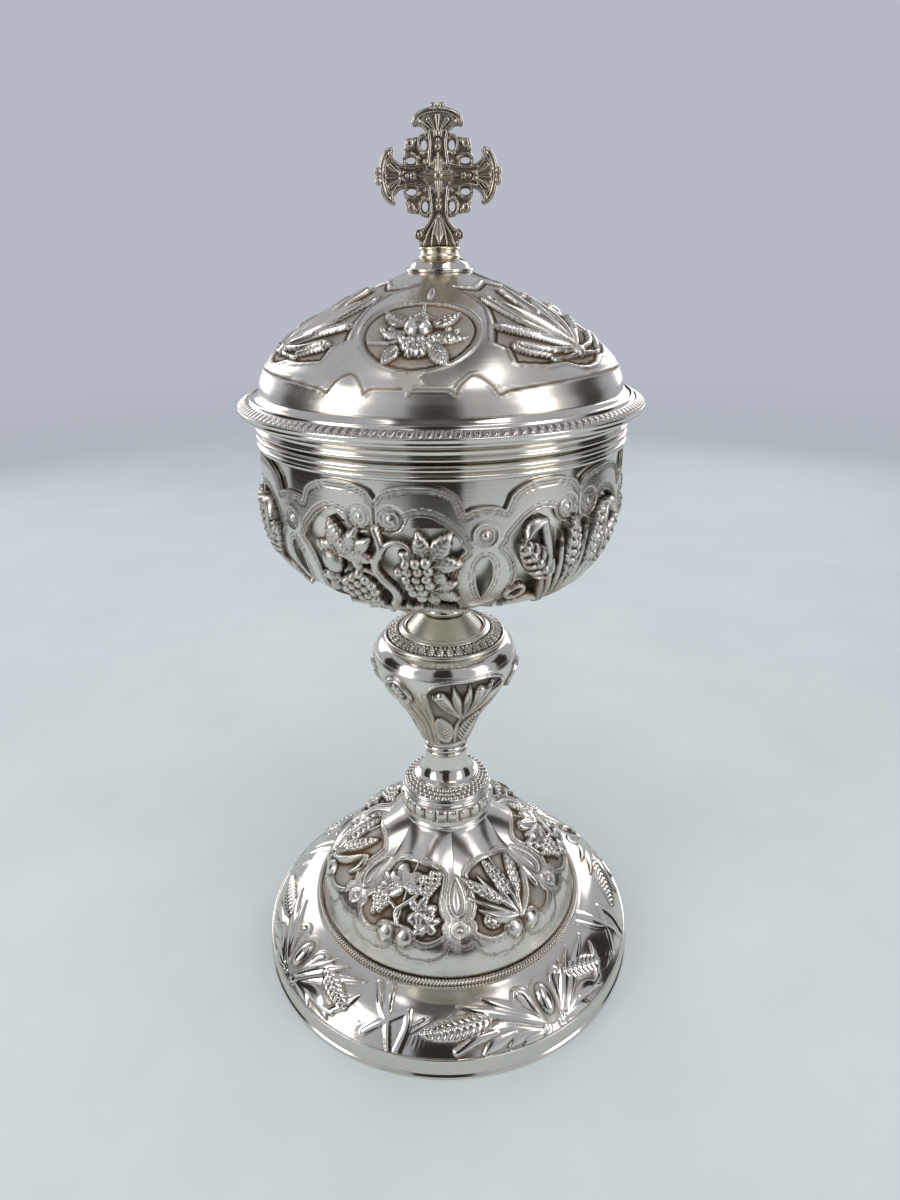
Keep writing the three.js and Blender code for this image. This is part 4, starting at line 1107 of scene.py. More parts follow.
def wheat_on_foot():
    """Three ears and long blades fanned from the cusp of a cartouche, with a folded leaf."""
    return (
        (blade([(0, 6), (-5, 17), (-7, 25)], 2.0, 1.0), 0.1),
        (blade([(0, 6), (-2.5, 17), (-1.5, 27)], 1.8, 1.0), 0.1),
        (blade([(0, 6), (3, 16), (5, 24)], 1.8, 1.0), 0.1),
        (blade([(0, 6), (-7, 12), (-13.5, 18)], 2.2, 1.0), 0.1),
        (blade([(0, 6), (6, 11.5), (9.2, 20)], 3.0, 1.3), 0.2),
        (blade([(9.2, 20), (11.6, 15), (11.8, 10)], 2.4, 1.2), 0.2),
        (blade([(-1, 7), (-7, 8.5), (-12, 13)], 4.2, 1.4), 0.2),
        (strip([(0, 7), (-2.5, 11), (-4.5, 14)], 0.8, 0.8), 0.3),
        (strip([(0, 7), (0.4, 12), (0.2, 16)], 0.8, 0.8), 0.3),
        (moved(ear(13.5, 4.2, 1.7, 6), -4, 13, -33), 0.4),
        (moved(ear(14, 4.2, 1.7, 6), -0.2, 14.5, -10), 0.4),
        (moved(ear(13, 4.0, 1.7, 6), 2.6, 13.5, 14), 0.4),
        (moved(scroll(2.4, 1.3), -10, 8), 0.3),
    )


class BuildFastenings(bpy.types.Operator):
    """Turns the tie rod and the stud, and makes their nuts and washers"""
    bl_idname = "ciborium.fastenings"
    bl_label = "Fastenings"

    def execute(self, context):
        for name, hole in (("foot_washer", ROD_HOLE), ("cross_washer", STUD_HOLE)):
            turned(name, eased(washer(name, hole), 0.2), "turned steel", 128)
        for name, hole in (("tie_nut", ROD_HOLE), ("cross_nut", STUD_HOLE)):
            hex_nut(name, hole)
        for name, thread_length in (("tie_rod", 9.0), ("cross_stud", 7.0)):
            threaded_rod(name, thread_length)
        return {"FINISHED"}


def washer(name, hole):
    """The section of a flat ring with this node's height and radius."""
    low, high, radius = extent(name)
    return [(hole, low), (radius, low), (radius, high), (hole, high)]


def hex_nut(name, hole):
    """A six-sided nut: a turned ring whose radius follows the hexagon, eased at both ends."""
    low, high, corner = extent(name)
    flat = corner * np.sqrt(3) / 2
    columns = 144
    azimuths = np.arange(columns) * 360 / columns
    hexagon = flat / np.cos(np.radians((azimuths + 30) % 60 - 30))
    ease = 0.09 * (high - low)
    rows = [(low, hole + ease), (low, 0.97 * flat), (low + 2 * ease, corner), (high - 2 * ease, corner),
            (high, 0.97 * flat), (high, hole + ease), (high - ease, hole), (low + ease, hole)]
    turn = np.radians(azimuths)
    points = []
    for z, r in rows:
        radius = np.minimum(r, hexagon)
        points.append(np.column_stack([radius * np.sin(turn), -radius * np.cos(turn), np.full(columns, z)]))
    round_piece(name, np.array(points), "turned steel", crease=30)


def threaded_rod(name, thread_length):
    """A rod with a cut thread at its lower end: the groove climbs one pitch in each turn."""
    low, high, radius = extent(name)
    pitch, rows = 0.8, 160
    line = np.column_stack([np.full(rows, radius), np.linspace(low + 0.3, high - 0.3, rows)])
    relief = Relief(line, 48, 360)
    turns = line[:, 1:] / pitch - relief.azimuth[None, :] / 360
    threaded = 1 - eased_step(line[:, 1:], low + thread_length, low + thread_length + 1)
    relief.height -= 0.3 * np.abs((turns % 1) - 0.5) * 2 * threaded
    back = [(radius - 0.4, high), (0, high), (0, low), (radius - 0.4, low)]
    embossed(name, relief, back, "turned steel")


class BuildCollars(bpy.types.Operator):
    """Turns the collars of the stem: gadroon ring, beaded band and spool, bead ring and seat"""
    bl_idname = "ciborium.collars"
    bl_label = "Stem collars"

    def execute(self, context):
        gadroon_ring()
        beaded_collar()
        low, high, radius = extent("spool_ring")
        half = (high - low) / 2
        bead = arc((radius - half, low + half), half, -90, 90, 20)
        turned("spool_ring", np.vstack([bead, [(ROD_HOLE, high), (ROD_HOLE, low)]]), columns=160)
        low, high, radius = extent("knop_seat")
        turned("knop_seat", [(radius, low), (radius, high), (ROD_HOLE, high), (ROD_HOLE, low)],
               "oxidised silver", 128)
        return {"FINISHED"}


def gadroon_ring():
    """A ring of upright lobes over a small bead and a hollow."""
    low, high = extent("collar_ring")[:2]
    radius, roll_z = 15.2, low + 3.4
    line = evenly(np.vstack([
        [(16.0, low)], arc((16.0, low + 0.5), 0.4, -60, 60, 6),
        [(15.6, low + 1.4), (15.5, roll_z - 0.6)],
        arc((radius, roll_z + 2.8), 2.8, -80, 80, 24) * (0.55, 1) + (0.45 * radius, 0),
    ]), 60)
    relief = Relief(line, 16, 15)
    across, up = relief.around(7.5, relief.level(roll_z + 2.6))
    lobe = roll(across, 2.1)
    body = eased_band(up, -2.9, -2.2, 2.2, 2.9)
    relief.height += (0.85 * lobe - 0.5 + 0.2 * roll(np.abs(across) - 1.0, 0.3)) * body
    embossed("collar_ring", relief, [(ROD_HOLE, high), (ROD_HOLE, low)], "chased silver")


def beaded_collar():
    """A sloping band with three rows of beads between two wires, under an upright flared neck."""
    low, high = extent("collar_dome")[:2]
    band = low + 2.2
    line = evenly(np.vstack([
        [(15.6, low)], arc((15.3, low + 0.45), 0.4, -60, 60, 6),
        [(14.9, low + 1.2), (14.9, band - 0.3), (15.7, band), (15.6, band + 0.4)],
        [(15.3, band + 0.9), (11.4, band + 4.0), (11.1, band + 4.5)],
        bend((10.7, band + 4.6), (7.4, high - 1.4), [(0.36, 0.1), (0.66, 0.26), (0.9, 0.52)], 40),
        arc((7.2, high - 0.7), 0.7, -60, 60, 8),
    ]), 110)
    beads = 40
    relief = Relief(line, 10, 360 / beads)
    half = relief.sector / 2
    middle = relief.level(band + 2.5)
    for height, shift in ((-1.35, 0), (0, half), (1.35, 0)):
        x, y = relief.around(half + shift, middle + height)
        relief.height += 0.5 * roll(np.hypot(x, 1.2 * y), 0.85)
    up = relief.around(half, middle)[1]
    relief.height += 0.25 * (roll(up - 2.3, 0.25) + roll(up + 2.3, 0.25))
    relief.tarnish += 0.3 * (1 - eased_step(np.abs(up), 1.9, 2.3))
    embossed("collar_dome", relief, [(ROD_HOLE, high), (ROD_HOLE, low)], "polished silver")


class BuildKnop(bpy.types.Operator):
    """Chases the knop's bell, and turns its shoulder, frieze and brushed cap"""
    bl_idname = "ciborium.knop"
    bl_label = "Knop"

    def execute(self, context):
        foot, ridge, widest = extent("knop_lower")
        band = ridge - 3.1
        stops = [(0.131, 0.154), (0.29, 0.347), (0.5, 0.51), (0.786, 0.718), (0.976, 0.911)]
        bell = bend((7.9, foot), (widest, band), stops, 300)
        edge = bend((widest, band), (KNOP_EDGE, ridge), [(0.1, 0.5)], 30)
        line = evenly(np.vstack([bell, edge[1:]]), 124)
        inner = beside(line[::8], SHEET)[::-1]
        relief = Relief(line, 150, 120)
        panel = 18
        arched_panel(relief, panel, foot, ridge)
        fluted_roundel(relief, panel + 60, ridge)
        embossed("knop_lower", relief, np.vstack([
            [(KNOP_EDGE - SHEET, ridge)], inner[1:-1],
            [(6.7, foot + SHEET), (ROD_HOLE, foot + SHEET), (ROD_HOLE, foot)],
        ]), "chased silver")

        low, high = extent("knop_upper")[:2]
        turned("knop_upper", np.vstack([
            [(KNOP_EDGE - 2.8, low)],
            bend((KNOP_EDGE, low), (KNOP_SHOULDER, high), [(0.25, 0.45), (0.7, 0.85)], 16),
            [(ROD_HOLE, high), (ROD_HOLE, high - SHEET), (KNOP_SHOULDER - SHEET, high - SHEET)],
        ]))
        palmette_frieze()
        low, high, edge = extent("knop_cap")
        throat, wall = 7.7, low + 3.4
        turned("knop_cap", [
            (edge - SHEET, low), (edge, low), (edge, wall), (throat, high), (ROD_HOLE, high),
            (ROD_HOLE, high - SHEET), (throat - SHEET, high - SHEET), (edge - SHEET, wall - SHEET),
        ], "satin silver", crease=25)
        return {"FINISHED"}


def palmette_frieze():
    """A sloping band of palmettes between two bright wires."""
    low, high = extent("knop_frieze")[:2]
    wire, inside = 0.8, 13.8
    outside = KNOP_SHOULDER - wire
    upper = (inside, high - wire)
    line = evenly(np.vstack([arc((outside, low + wire), wire, -60, 110, 10),
                             arc(upper, wire, 20, 150, 8)]), 46)
    relief = Relief(line, 16, 10)
    palmette, bud = 5, 0
    middle = relief.length[-1] * 0.47
    up = relief.around(palmette, middle)[1]
    inner_band = 1 - eased_step(np.abs(up), 2.0, 2.4)
    relief.height -= 0.5 * inner_band
    relief.tarnish += 0.6 * inner_band
    relief.put(moved(fern(3.9, 2.5, 0.9, 4), 0, -1.9), palmette, middle, base=-0.4, tarnish=0.2)
    relief.put(moved(bump(0.4, 0.7, 0.8), 0, 1.2), bud, middle, base=-0.3, tarnish=0.2)
    relief.put(moved(bump(0.4, 0.5, 0.6), 0, -1.3), bud, middle, base=-0.3)
    bore = inside - wire
    embossed("knop_frieze", relief, [(bore, upper[1]), (bore, low), (outside, low)], "chased silver")


def arched_panel(relief, azimuth, foot, ridge):
    """One of three sunk panels of the bell, 68 degrees wide, with reeds over two ferns."""
    spring = relief.level(ridge - 7)
    x, y = relief.around(azimuth, spring)
    half = 34 * np.radians(relief.line[:, :1])
    arch = relief.length[-1] - 2.2 - spring
    top_line = arch - 6 * (1 - np.sqrt(np.clip(1 - (np.abs(x) / np.maximum(half, 1)) ** 3.6, 0, 1)))
    inside = np.minimum(half - np.abs(x), top_line - y)
    inside = np.minimum(inside, relief.length[:, None] - 1.2)
    relief.sink(inside, 0.45, 0.9, 0.5)
    relief.tarnish += 0.2 * eased_step(inside, 0, 1)
    relief.height += 0.3 * roll(inside + 0.55, 0.5) - 0.15 * roll(inside + 1.25, 0.25)
    low = relief.level(foot + 3)
    for side in (-1, 1):
        leaf = moved(fern(16, 6.6, 1.3, 10), side * 2.5, 0.5, side * 18)
        relief.put(leaf, azimuth, low, base=-0.4, tarnish=0.12)
    relief.put(blade([(0, 0), (0, 6), (0, 14)], 1.8, 0.9), azimuth, low, base=-0.4, tarnish=0.12)
    relief.lay(knop_reeds(), azimuth, relief.level(foot + 17) + 2.5, drop=0.5, tarnish=0.2)


def knop_reeds():
    """Broad reeds fanned from the middle of an arched panel, with two curled tips."""
    return (
        (blade([(0, -2), (-6, 6), (-12, 13)], 4.2, 1.2), 0.1),
        (blade([(0, -2), (-3, 7), (-5.4, 16.5)], 3.6, 1.2), 0.1),
        (blade([(0, -2), (0.4, 8), (0.2, 16.5)], 3.2, 1.1), 0.1),
        (blade([(0, -2), (8, 8), (13.2, 15)], 3.8, 1.2), 0.1),
        (blade([(0, -2), (5, 9), (8.4, 16.4)], 3.4, 1.2), 0.1),
        (strip([(-1, 0), (-5.4, 7), (-9.2, 12.5)], 3.2, 1.5, 0.6, 1), 0.2),
        (strip([(1, 0), (3, 7), (4.2, 13.6)], 3.4, 1.5, 0.7, 1), 0.2),
        (moved(bump(1.7, 1.7, 1.0), -9.2, 12.5), 0.9),
        (moved(bump(1.7, 1.2, 0.8), 4.2, 13.8), 0.9),
    )


def fluted_roundel(relief, azimuth, ridge):
    """One of three bosses of the bell, with a ring and two leaves on it, over a field of flutes."""
    level = relief.level(ridge - 8.2)
    relief.lay(((bump(5.4, 6.2, 0.8), 0), (ring(4.8, 0.6, 0.9), 0.4)), azimuth, level)
    x, y = relief.around(azimuth, level)
    relief.sink(3.9 - np.hypot(x, y), 0.5, 0.6, 0.4)
    relief.put(moved(lobed_leaf(3.0, 1.0, teeth=0), 0, 0.5, -20), azimuth, level, base=0.1)
    relief.put(moved(lobed_leaf(2.8, 1.0, teeth=0), 0, -0.5, 160), azimuth, level, base=0.1)
    relief.put(bump(1.0, 1.0, 0.9), azimuth, level, base=0.4)
    x, y = relief.around(azimuth, 0)
    turn = x / np.radians(relief.line[:, :1])
    upright = eased_step(y, 1, 3) * (1 - eased_step(relief.line[:, 1:], ridge - 17, ridge - 13))
    within = 1 - eased_step(np.abs(turn), 21, 23)
    relief.height += upright * within * (0.8 * roll((turn + 5) % 10 - 5, 4.4) - 0.4)


class BuildNeck(bpy.types.Operator):
    """Turns the upper neck, and the plate and boss that clamp the basket and the cup"""
    bl_idname = "ciborium.neck"
    bl_label = "Upper neck"

    def execute(self, context):
        low, high, radius = extent("upper_neck")
        ring_half, outer, throat = 1.65, 7.7, 6.3
        bead = arc((outer - ring_half, low + ring_half), ring_half, -80, 75, 16)
        flare = bend((throat, low + 3.9), (radius - 0.02, high), [(0, 0.4), (0.35, 0.82)], 16)
        turned("upper_neck", np.vstack([
            [(ROD_HOLE, low), (outer - ring_half, low)], bead, flare, [(ROD_HOLE, high)],
        ]), columns=160)
        for name, ease in (("basket_plate", 0.3), ("cup_boss", 0.4)):
            turned(name, eased(washer(name, ROD_HOLE), ease), columns=128)
        return {"FINISHED"}


class BuildBasket(bpy.types.Operator):
    """Chases and pierces the basket round the cup, in three pieces of two panels each"""
    bl_idname = "ciborium.basket"
    bl_label = "Basket"

    def execute(self, context):
        low, high = extent("basket")[:2]
        relief = Relief(basket_line(low, high), 272, 120)
        cartouches(relief, BASKET_WHEAT, relief.level(high), -1, 1, BASKET_PILLARS, True)
        middle = relief.level(low + 23.6)
        relief.lay(wheat_on_basket(), BASKET_WHEAT, middle, matt=0.2, tarnish=0.08)
        relief.lay(vine_on_basket(), BASKET_WHEAT + 60, middle, matt=0.25, tarnish=0.14)
        base_leaves(relief, low + 9.1)
        relief.tarnish += 0.4 * roll(relief.metal, 0.45)

        count = 3 * relief.columns
        azimuths = np.arange(count) * 360 / count
        outside = spun(relief.line, azimuths)
        normal = normals_of(outside)
        height = context.scene.ciborium_detail.relief * relief.spread(relief.height)
        raised, inner = outside + normal * height[..., None], outside - normal
        metal = relief.spread(relief.metal)
        fields = {"cavity": relief.spread(relief.cavity()), "matt": relief.spread(relief.matt)}
        first = round(11 / 360 * count)
        for third in range(3):
            span = np.arange(first, first + relief.columns + 1) + third * relief.columns
            sheet = [field.take(span, axis=1, mode="wrap") for field in (raised, inner, metal)]
            picked = {name: field.take(span, axis=1, mode="wrap") for name, field in fields.items()}
            points, faces, channels = pierced(*sheet, picked)
            make_piece(f"basket_panels_{third + 1}", points, faces, "chased silver", channels, 62, "basket")
        return {"FINISHED"}


def basket_line(low, high):
    """The basket's profile: a flat foot round the stem, a bowl, and a straight wall."""
    straight, floor = 13, 9
    drop = high - straight - low
    bowl = bezier([(BOWL_RADIUS, high - straight), (BOWL_RADIUS + 0.02 * drop, low + 0.18 * drop),
                   (floor + 0.53 * (BOWL_RADIUS - floor), low + 0.13 * drop), (floor, low)], 400)[::-1]
    return evenly(np.vstack([[(ROD_HOLE, low)], bowl, [(BOWL_RADIUS, high + 0.4)]]), 196)


def vine_on_basket():
    """A winding stem with two bunches of grapes and lobed leaves, filling a window."""
    return (
        (strip([(0, 12), (1.1, 9), (1.4, 6.5), (-0.1, 3.5), (-0.4, 1), (1.1, -2), (3.5, -5.5), (3.8, -9),
                (2.2, -13), (3, -18), (2, -24)], 2.5, 1.4, 0.8, 1.2), 0.2, 0.3),
        (strip([(0.9, 4.5), (2.2, 7), (4.2, 8.5), (6.8, 8.6), (8.8, 7.4), (9.8, 5)],
               1.8, 1.1, 1, 0.7), 0.2, 0.3),
        (strip([(0.6, -1.5), (-2.5, 0.2), (-5.5, 0), (-7, -2)], 1.6, 1.1), 0.2, 0.3),
        (strip([(3, -15), (9, -15.5), (14, -19), (19, -22)], 1.8, 1.0), 0.2, 0.3),
        (strip([(2, -17), (-6, -15.5), (-12, -18), (-16, -22)], 1.8, 1.0), 0.2, 0.3),
        (moved(lobed_leaf(11.5, 1.7), 13.2, 3.0, 38), 0.1, 0.2),
        (moved(lobed_leaf(9, 1.6), 13.6, -4.5, 128), 0.1, 0.15),
        (moved(lobed_leaf(11.5, 1.7), -9.6, 3.6, -22), 0.1, 0.15),
        (moved(lobed_leaf(8, 1.6), -6.6, 4.4, 48), 0.2, 0.15),
        (moved(lobed_leaf(8.5, 1.6), -11.6, -4, -140), 0.1, 0.2),
        (moved(lobed_leaf(6.5, 1.4), 6, -17, 95), 0.1, 0.3),
        (moved(lobed_leaf(6.5, 1.4), -3, -18, -110), 0.1, 0.3),
        (moved(bump(3.2, 4.0, 2.2), -13, 1.5, -35), 0.2, 0.5),
        (moved(bunch([3, 4, 3, 3, 2, 1], 1.4, 1.2), 10.0, 3.6, 176), 1.3, 0.15),
        (moved(bunch([3, 4, 4, 3, 2, 1], 1.4, 1.2), -7.6, -2.4, 148), 1.3, 0.2),
    )


def wheat_on_basket():
    """Ears and reeds fanned from the foot of a window, with folded blades to both sides."""
    return (
        (blade([(0, -24), (-4, -10), (-7.2, 9)], 2.4, 1.2), 0.1, 0.2),
        (blade([(0, -24), (-2, -8), (-4.6, 10.5)], 2.2, 1.2), 0.1, 0.2),
        (blade([(0, -24), (1.6, -8), (2.6, 11)], 2.4, 1.2), 0.1, 0.2),
        (blade([(0, -24), (4.6, -8), (7.6, 10)], 2.4, 1.2), 0.1, 0.2),
        (blade([(0, -24), (-7, -12), (-13, 1)], 2.2, 1.1), 0.1, 0.2),
        (blade([(0, -24), (8, -12), (14, 2)], 2.2, 1.1), 0.1, 0.2),
        (strip([(-3, -18), (-9, -2), (-12.4, 12.2)], 2.8, 1.4, 0.6, 1), 0.2, 0.1),
        (blade([(-12.2, 12.8), (-15.5, 11.5), (-18.4, 8)], 3.6, 1.4), 0.4, 0.1),
        (strip([(3, -18), (9, -2), (13.4, 11.6)], 2.6, 1.4, 0.6, 1), 0.2, 0.1),
        (blade([(13.2, 12.2), (16.5, 11), (19, 7.4)], 3.4, 1.4), 0.4, 0.1),
        (blade([(-2, -20), (-9, -14.5), (-19, -14.5)], 3.4, 1.1), 0.1, 0.2),
        (blade([(2, -20), (9, -14.5), (19, -14.5)], 3.4, 1.1), 0.1, 0.2),
        (moved(ring(2.4, 0.7, 1.0), -16.8, -8.6), 0.1, 0.3),
        (moved(ring(2.4, 0.7, 1.0), 16.8, -8.6), 0.1, 0.3),
        (moved(ear(15.5, 8.0, 2.2, 5), -8.6, -3.6, -44), 0.5, 0.25),
        (moved(ear(18, 5.6, 2.0, 7), -1.6, -6, -2), 0.5, 0.25),
        (moved(ear(18, 5.6, 2.0, 7), 5.8, -4, 14), 0.5, 0.25),
        (moved(ear(15, 7.4, 2.1, 5), 10.2, -4.4, 42), 0.4, 0.25),
    )


def base_leaves(relief, height):
    """The closed foot of the basket: slender leaves round a plain seat, up to this height."""
    leaves, seat = 36, 6
    x, y = relief.around(0, 0, 360 / leaves)
    tip = relief.level(height)
    share = np.clip((y - seat) / (tip - seat), 0, 1)
    half = np.radians(180 / leaves) * relief.line[:, :1] * np.sqrt(np.clip(1 - share ** 3, 0, 1))
    on_leaf = eased_band(y, seat - 1, seat + 1, tip - 1, tip)
    relief.height += on_leaf * (0.5 * roll(x, np.maximum(half, 0.2)) - 0.1)


class BuildCup(bpy.types.Operator):
    """Turns the plain cup, gilt inside, and the two wires under its lip"""
    bl_idname = "ciborium.cup"
    bl_label = "Cup"

    def execute(self, context):
        low, high, radius = extent("cup")
        floor, wall, rounding = 9, 1, 30
        outer = bezier([(floor, low), (floor + 0.48 * (radius - floor), low),
                        (radius - 0.03 * rounding, low + 0.2 * rounding), (radius, low + rounding)], 60)
        inner = beside(outer, wall)[::-1]
        lip = [(radius, high - 0.4), (radius - 0.3, high), (radius - 0.7, high), (radius - wall, high - 0.4)]
        piece = turned("cup", np.vstack([[(0, low)], outer, lip, inner, [(0, low + wall)]]))
        gild_inside(piece, radius, low + wall / 2)

        low, high = extent("cup_rim")[:2]
        inside, wire = radius + GAP, 0.9
        middle = inside + wire
        turned("cup_rim", np.vstack([
            [(inside, low)], arc((middle, low + wire), wire, -90, 62, 14), [(middle, (low + high) / 2)],
            arc((middle, high - wire), wire, -62, 90, 14), [(inside, high)],
        ]), crease=50)
        return {"FINISHED"}


def gild_inside(piece, radius, floor):
    """Gives the gilding to the faces that point to the axis or up, and a paler silver behind the basket.

    The wall behind the basket is matt and painted paler than the rest: painted light that stands in for the
    light the basket's shadow keeps off it.
    """
    mesh = piece.data
    mesh.materials.append(finish("gilding"))
    mesh.materials.append(finish("silver with painted light"))
    centres, normals = np.empty(3 * len(mesh.polygons)), np.empty(3 * len(mesh.polygons))
    mesh.polygons.foreach_get("center", centres)
    mesh.polygons.foreach_get("normal", normals)
    centres, normals = centres.reshape(-1, 3), normals.reshape(-1, 3)
    inwards = (centres[:, :2] * normals[:, :2]).sum(axis=1) < 0
    level_floor = (np.hypot(*centres[:, :2].T) < 0.4 * radius * MM) & (normals[:, 2] > 0.5)
    inside = (inwards | level_floor) & (centres[:, 2] > floor * MM)
    behind = ~inwards & (centres[:, 2] < (top("basket") - 7) * MM)
    mesh.polygons.foreach_set("material_index",
                              np.where(inside, 1, np.where(behind, 2, 0)).astype(np.int32))
    mesh.update()


class BuildLidRim(bpy.types.Operator):
    """Turns the lid's moulded flange with its band of leaves, and the bezel under it"""
    bl_idname = "ciborium.lid_rim"
    bl_label = "Lid rim"

    def execute(self, context):
        low, high, edge = extent("lid_flange")
        inside = reach("lid_bezel") + GAP
        under, over = flange_lines(low, high, edge)
        relief = Relief(np.vstack([under, over]), 8, 360 / 160)
        chase_flange(relief, len(under) + 8)
        embossed("lid_flange", relief, [(inside, high), (inside, low)], "polished silver")

        low, high, radius = extent("lid_bezel")
        corners = [(radius - 1, low), (radius, low), (radius, high), (radius - 1, high)]
        turned("lid_bezel", eased(corners, 0.3))
        return {"FINISHED"}


def flange_lines(low, high, edge):
    """The flange's profile: mouldings under the edge, then the leaf band and the seat of the dome."""
    joint, seat = edge - 5.6, reach("lid_dome") + GAP
    under = np.vstack([
        [(joint, low), (joint + 0.1, low + 0.6)],
        arc((joint + 0.5, low + 1.3), 0.75, -70, 90, 10),
        bend((joint + 0.6, low + 2.2), (joint + 3.4, low + 4.4), [(0.2, 0.55)], 12),
        [(joint + 3.6, low + 5.0)],
        arc((edge - 1.2, low + 5.7), 0.8, -110, 30, 10), [(edge - 0.3, low + 6.4)],
    ])
    over = np.vstack([
        arc((edge - 0.45, low + 7.0), 0.45, -60, 60, 8),
        evenly(np.array([(edge - 0.1, low + 7.4), (edge - 2.7, low + 8.9)]), 14),
        [(edge - 3.0, low + 8.6), (edge - 3.5, low + 8.6)],
        arc((edge - 4.0, low + 9.2), 0.55, 10, 130, 8),
        [(edge - 4.8, low + 9.3), (edge - 5.1, low + 9.8), (seat + 0.4, low + 10.1), (seat, high)],
    ])
    return under, over


def chase_flange(relief, first):
    """A band of slanted leaves over a row of beads, from the first row of the band on."""
    width, slope = 2.3, 0.15
    x, y = relief.around(relief.sector / 2, relief.length[first])
    on_band = (y > -0.1) & (y < 3.1)
    height = np.where(on_band, y, 0)
    aside = x - slope * (height - 1.4)
    leaf = roll((aside + width / 2) % width - width / 2, 0.8) - 0.45 * roll(aside, 0.25)
    relief.height += np.where(on_band, 0.36 * leaf * roll(height - 1.7, 1.4) - 0.14, 0)
    bead = np.abs(height - 0.25) < 0.4
    relief.height += np.where(on_band & bead, 0.15 * np.cos(4 * np.pi * x / width), 0)
    relief.tarnish += np.where(on_band, 0.25, 0)


class BuildLidDome(bpy.types.Operator):
    """Raises the lid and chases three medallions and three star panels on it"""
    bl_idname = "ciborium.lid_dome"
    bl_label = "Lid dome"

    def execute(self, context):
        low, high, radius = extent("lid_dome")
        crown, under, medallion = 9.5, high - SHEET, -9
        stops = [(0.02, 0.12), (0.096, 0.298), (0.305, 0.5275), (0.579, 0.735), (0.852, 0.916)]
        line = bend((radius, low), (crown, high), stops, 124)
        inner = beside(line[::6], SHEET)[::-1]
        inner[0] = (crown, under)
        inner[-1] = (radius - SHEET, low)
        relief = Relief(line, 216, 120)
        scallop_lid(relief, medallion, relief.level(low + 4.8))
        chase_medallion(relief, medallion, relief.level(low + 18.1))
        chase_star(relief, medallion + 60, relief.level(low + 20.5))
        back = np.vstack([[(STUD_HOLE, high), (STUD_HOLE, under)], inner])
        embossed("lid_dome", relief, back, "chased silver")
        return {"FINISHED"}


def scallop_lid(relief, azimuth, low):
    """A narrow hatched line round the lid: level, with two arches to each medallion."""
    x, y = relief.around(azimuth, low)
    radius = 52.0
    share = radius / relief.line[:, :1]
    points = [(0, 1.9), (9.5, 1.7), (11.2, 0.1), (12.3, 2.4), (16.2, 5.4), (20.2, 2.6), (22, 0), (25, 1.0),
              (38, 2.0), (54.5, 2.4)]
    gap = followed(np.abs(x) * share, y, curve(points, 60))[0]
    relief.height += 0.16 * roll(np.abs(gap) - 0.55, 0.22) - 0.1 * (1 - eased_step(gap, 0.2, 0.4))
    relief.matt += 0.7 * (1 - eased_step(gap, 0.4, 0.7))
    relief.tarnish += 0.32 * (1 - eased_step(gap, 0.4, 0.8))


def chase_medallion(relief, azimuth, level):
    """A matt ground inside a double line with fruit on it, a tip above it and a leaf below it."""
    x, y = relief.around(azimuth, level)
    inside = (1 - np.hypot(x / 15.4, y / 13.6)) * 14
    relief.sink(inside, 0.35, 1.0, 0.4)
    relief.height += 0.24 * roll(inside + 0.45, 0.4) - 0.22 * roll(inside - 1.0, 0.25)
    relief.tarnish += 0.5 * roll(inside - 1.0, 0.35) + 0.35 * roll(inside + 1.0, 0.25)
    relief.lay(medallion_fruit(), azimuth, level, drop=0.3)
    relief.put(moved(blade([(0, 15), (0.2, 18), (0, 21)], 1.6, 0.4), 0.8, 0), azimuth, level)
    relief.put(moved(lobed_leaf(5.6, 0.15, 5, 50), -0.6, -15, 176), azimuth, level, matt=0.9, tarnish=0.1)


def medallion_fruit():
    """A round fruit over a bunch of berries, with six ribbed leaves, and twigs to the edge."""
    return (
        (strip([(0, 13), (0.2, 9), (0.1, 5)], 0.8, 0.8), 0),
        (strip([(-6.5, 6.4), (-3, 6.6), (-0.4, 9)], 0.7, 0.6, 0.2, 1), 0),
        (strip([(6.5, 6.4), (3, 6.6), (0.6, 9)], 0.7, 0.6, 0.2, 1), 0),
        (moved(fern(8.8, 4.8, 1.3, 6), -3.4, 2.4, -48), 0),
        (moved(fern(8.0, 4.4, 1.3, 6), 3.6, 2.6, 52), 0),
        (moved(fern(7.5, 4.1, 1.2, 6), 3.6, -1.6, 100), 0),
        (moved(fern(6.2, 3.4, 1.2, 6), -3, -1, -96), 0),
        (moved(fern(8.0, 4.4, 1.2, 6), 4.2, -5, 150), 0),
        (moved(fern(6.8, 3.7, 1.2, 6), -4.6, -5.6, 205), 0),
        (strip([(-3, -3), (-7, -4.2), (-12.4, -4.4)], 0.7, 0.6), 0),
        (strip([(3, -3), (8, -4), (12.6, -2)], 0.7, 0.6), 0),
        (berries([(-7.0, 0.9), (-9.4, 0.6), (7.4, 0.9), (9.6, 0.4)], 1.0, 0.9), 0),
        (berries([(-3.6, -3.4), (-1.2, -3.9), (1.3, -3.9),
                  (3.7, -3.2), (-2.4, -5.7), (0.2, -6.1), (2.7, -5.6),
                  (-1.0, -7.9), (1.4, -7.8)], 1.35, 1.3), 0.4),
        (moved(bump(3.6, 3.4, 2.6), -0.2, 1.2), 0.2),
        (berries([(-0.2, 4.0), (1.4, 3.9), (-1.8, 3.6)], 0.8, 0.7), 1.6),
    )


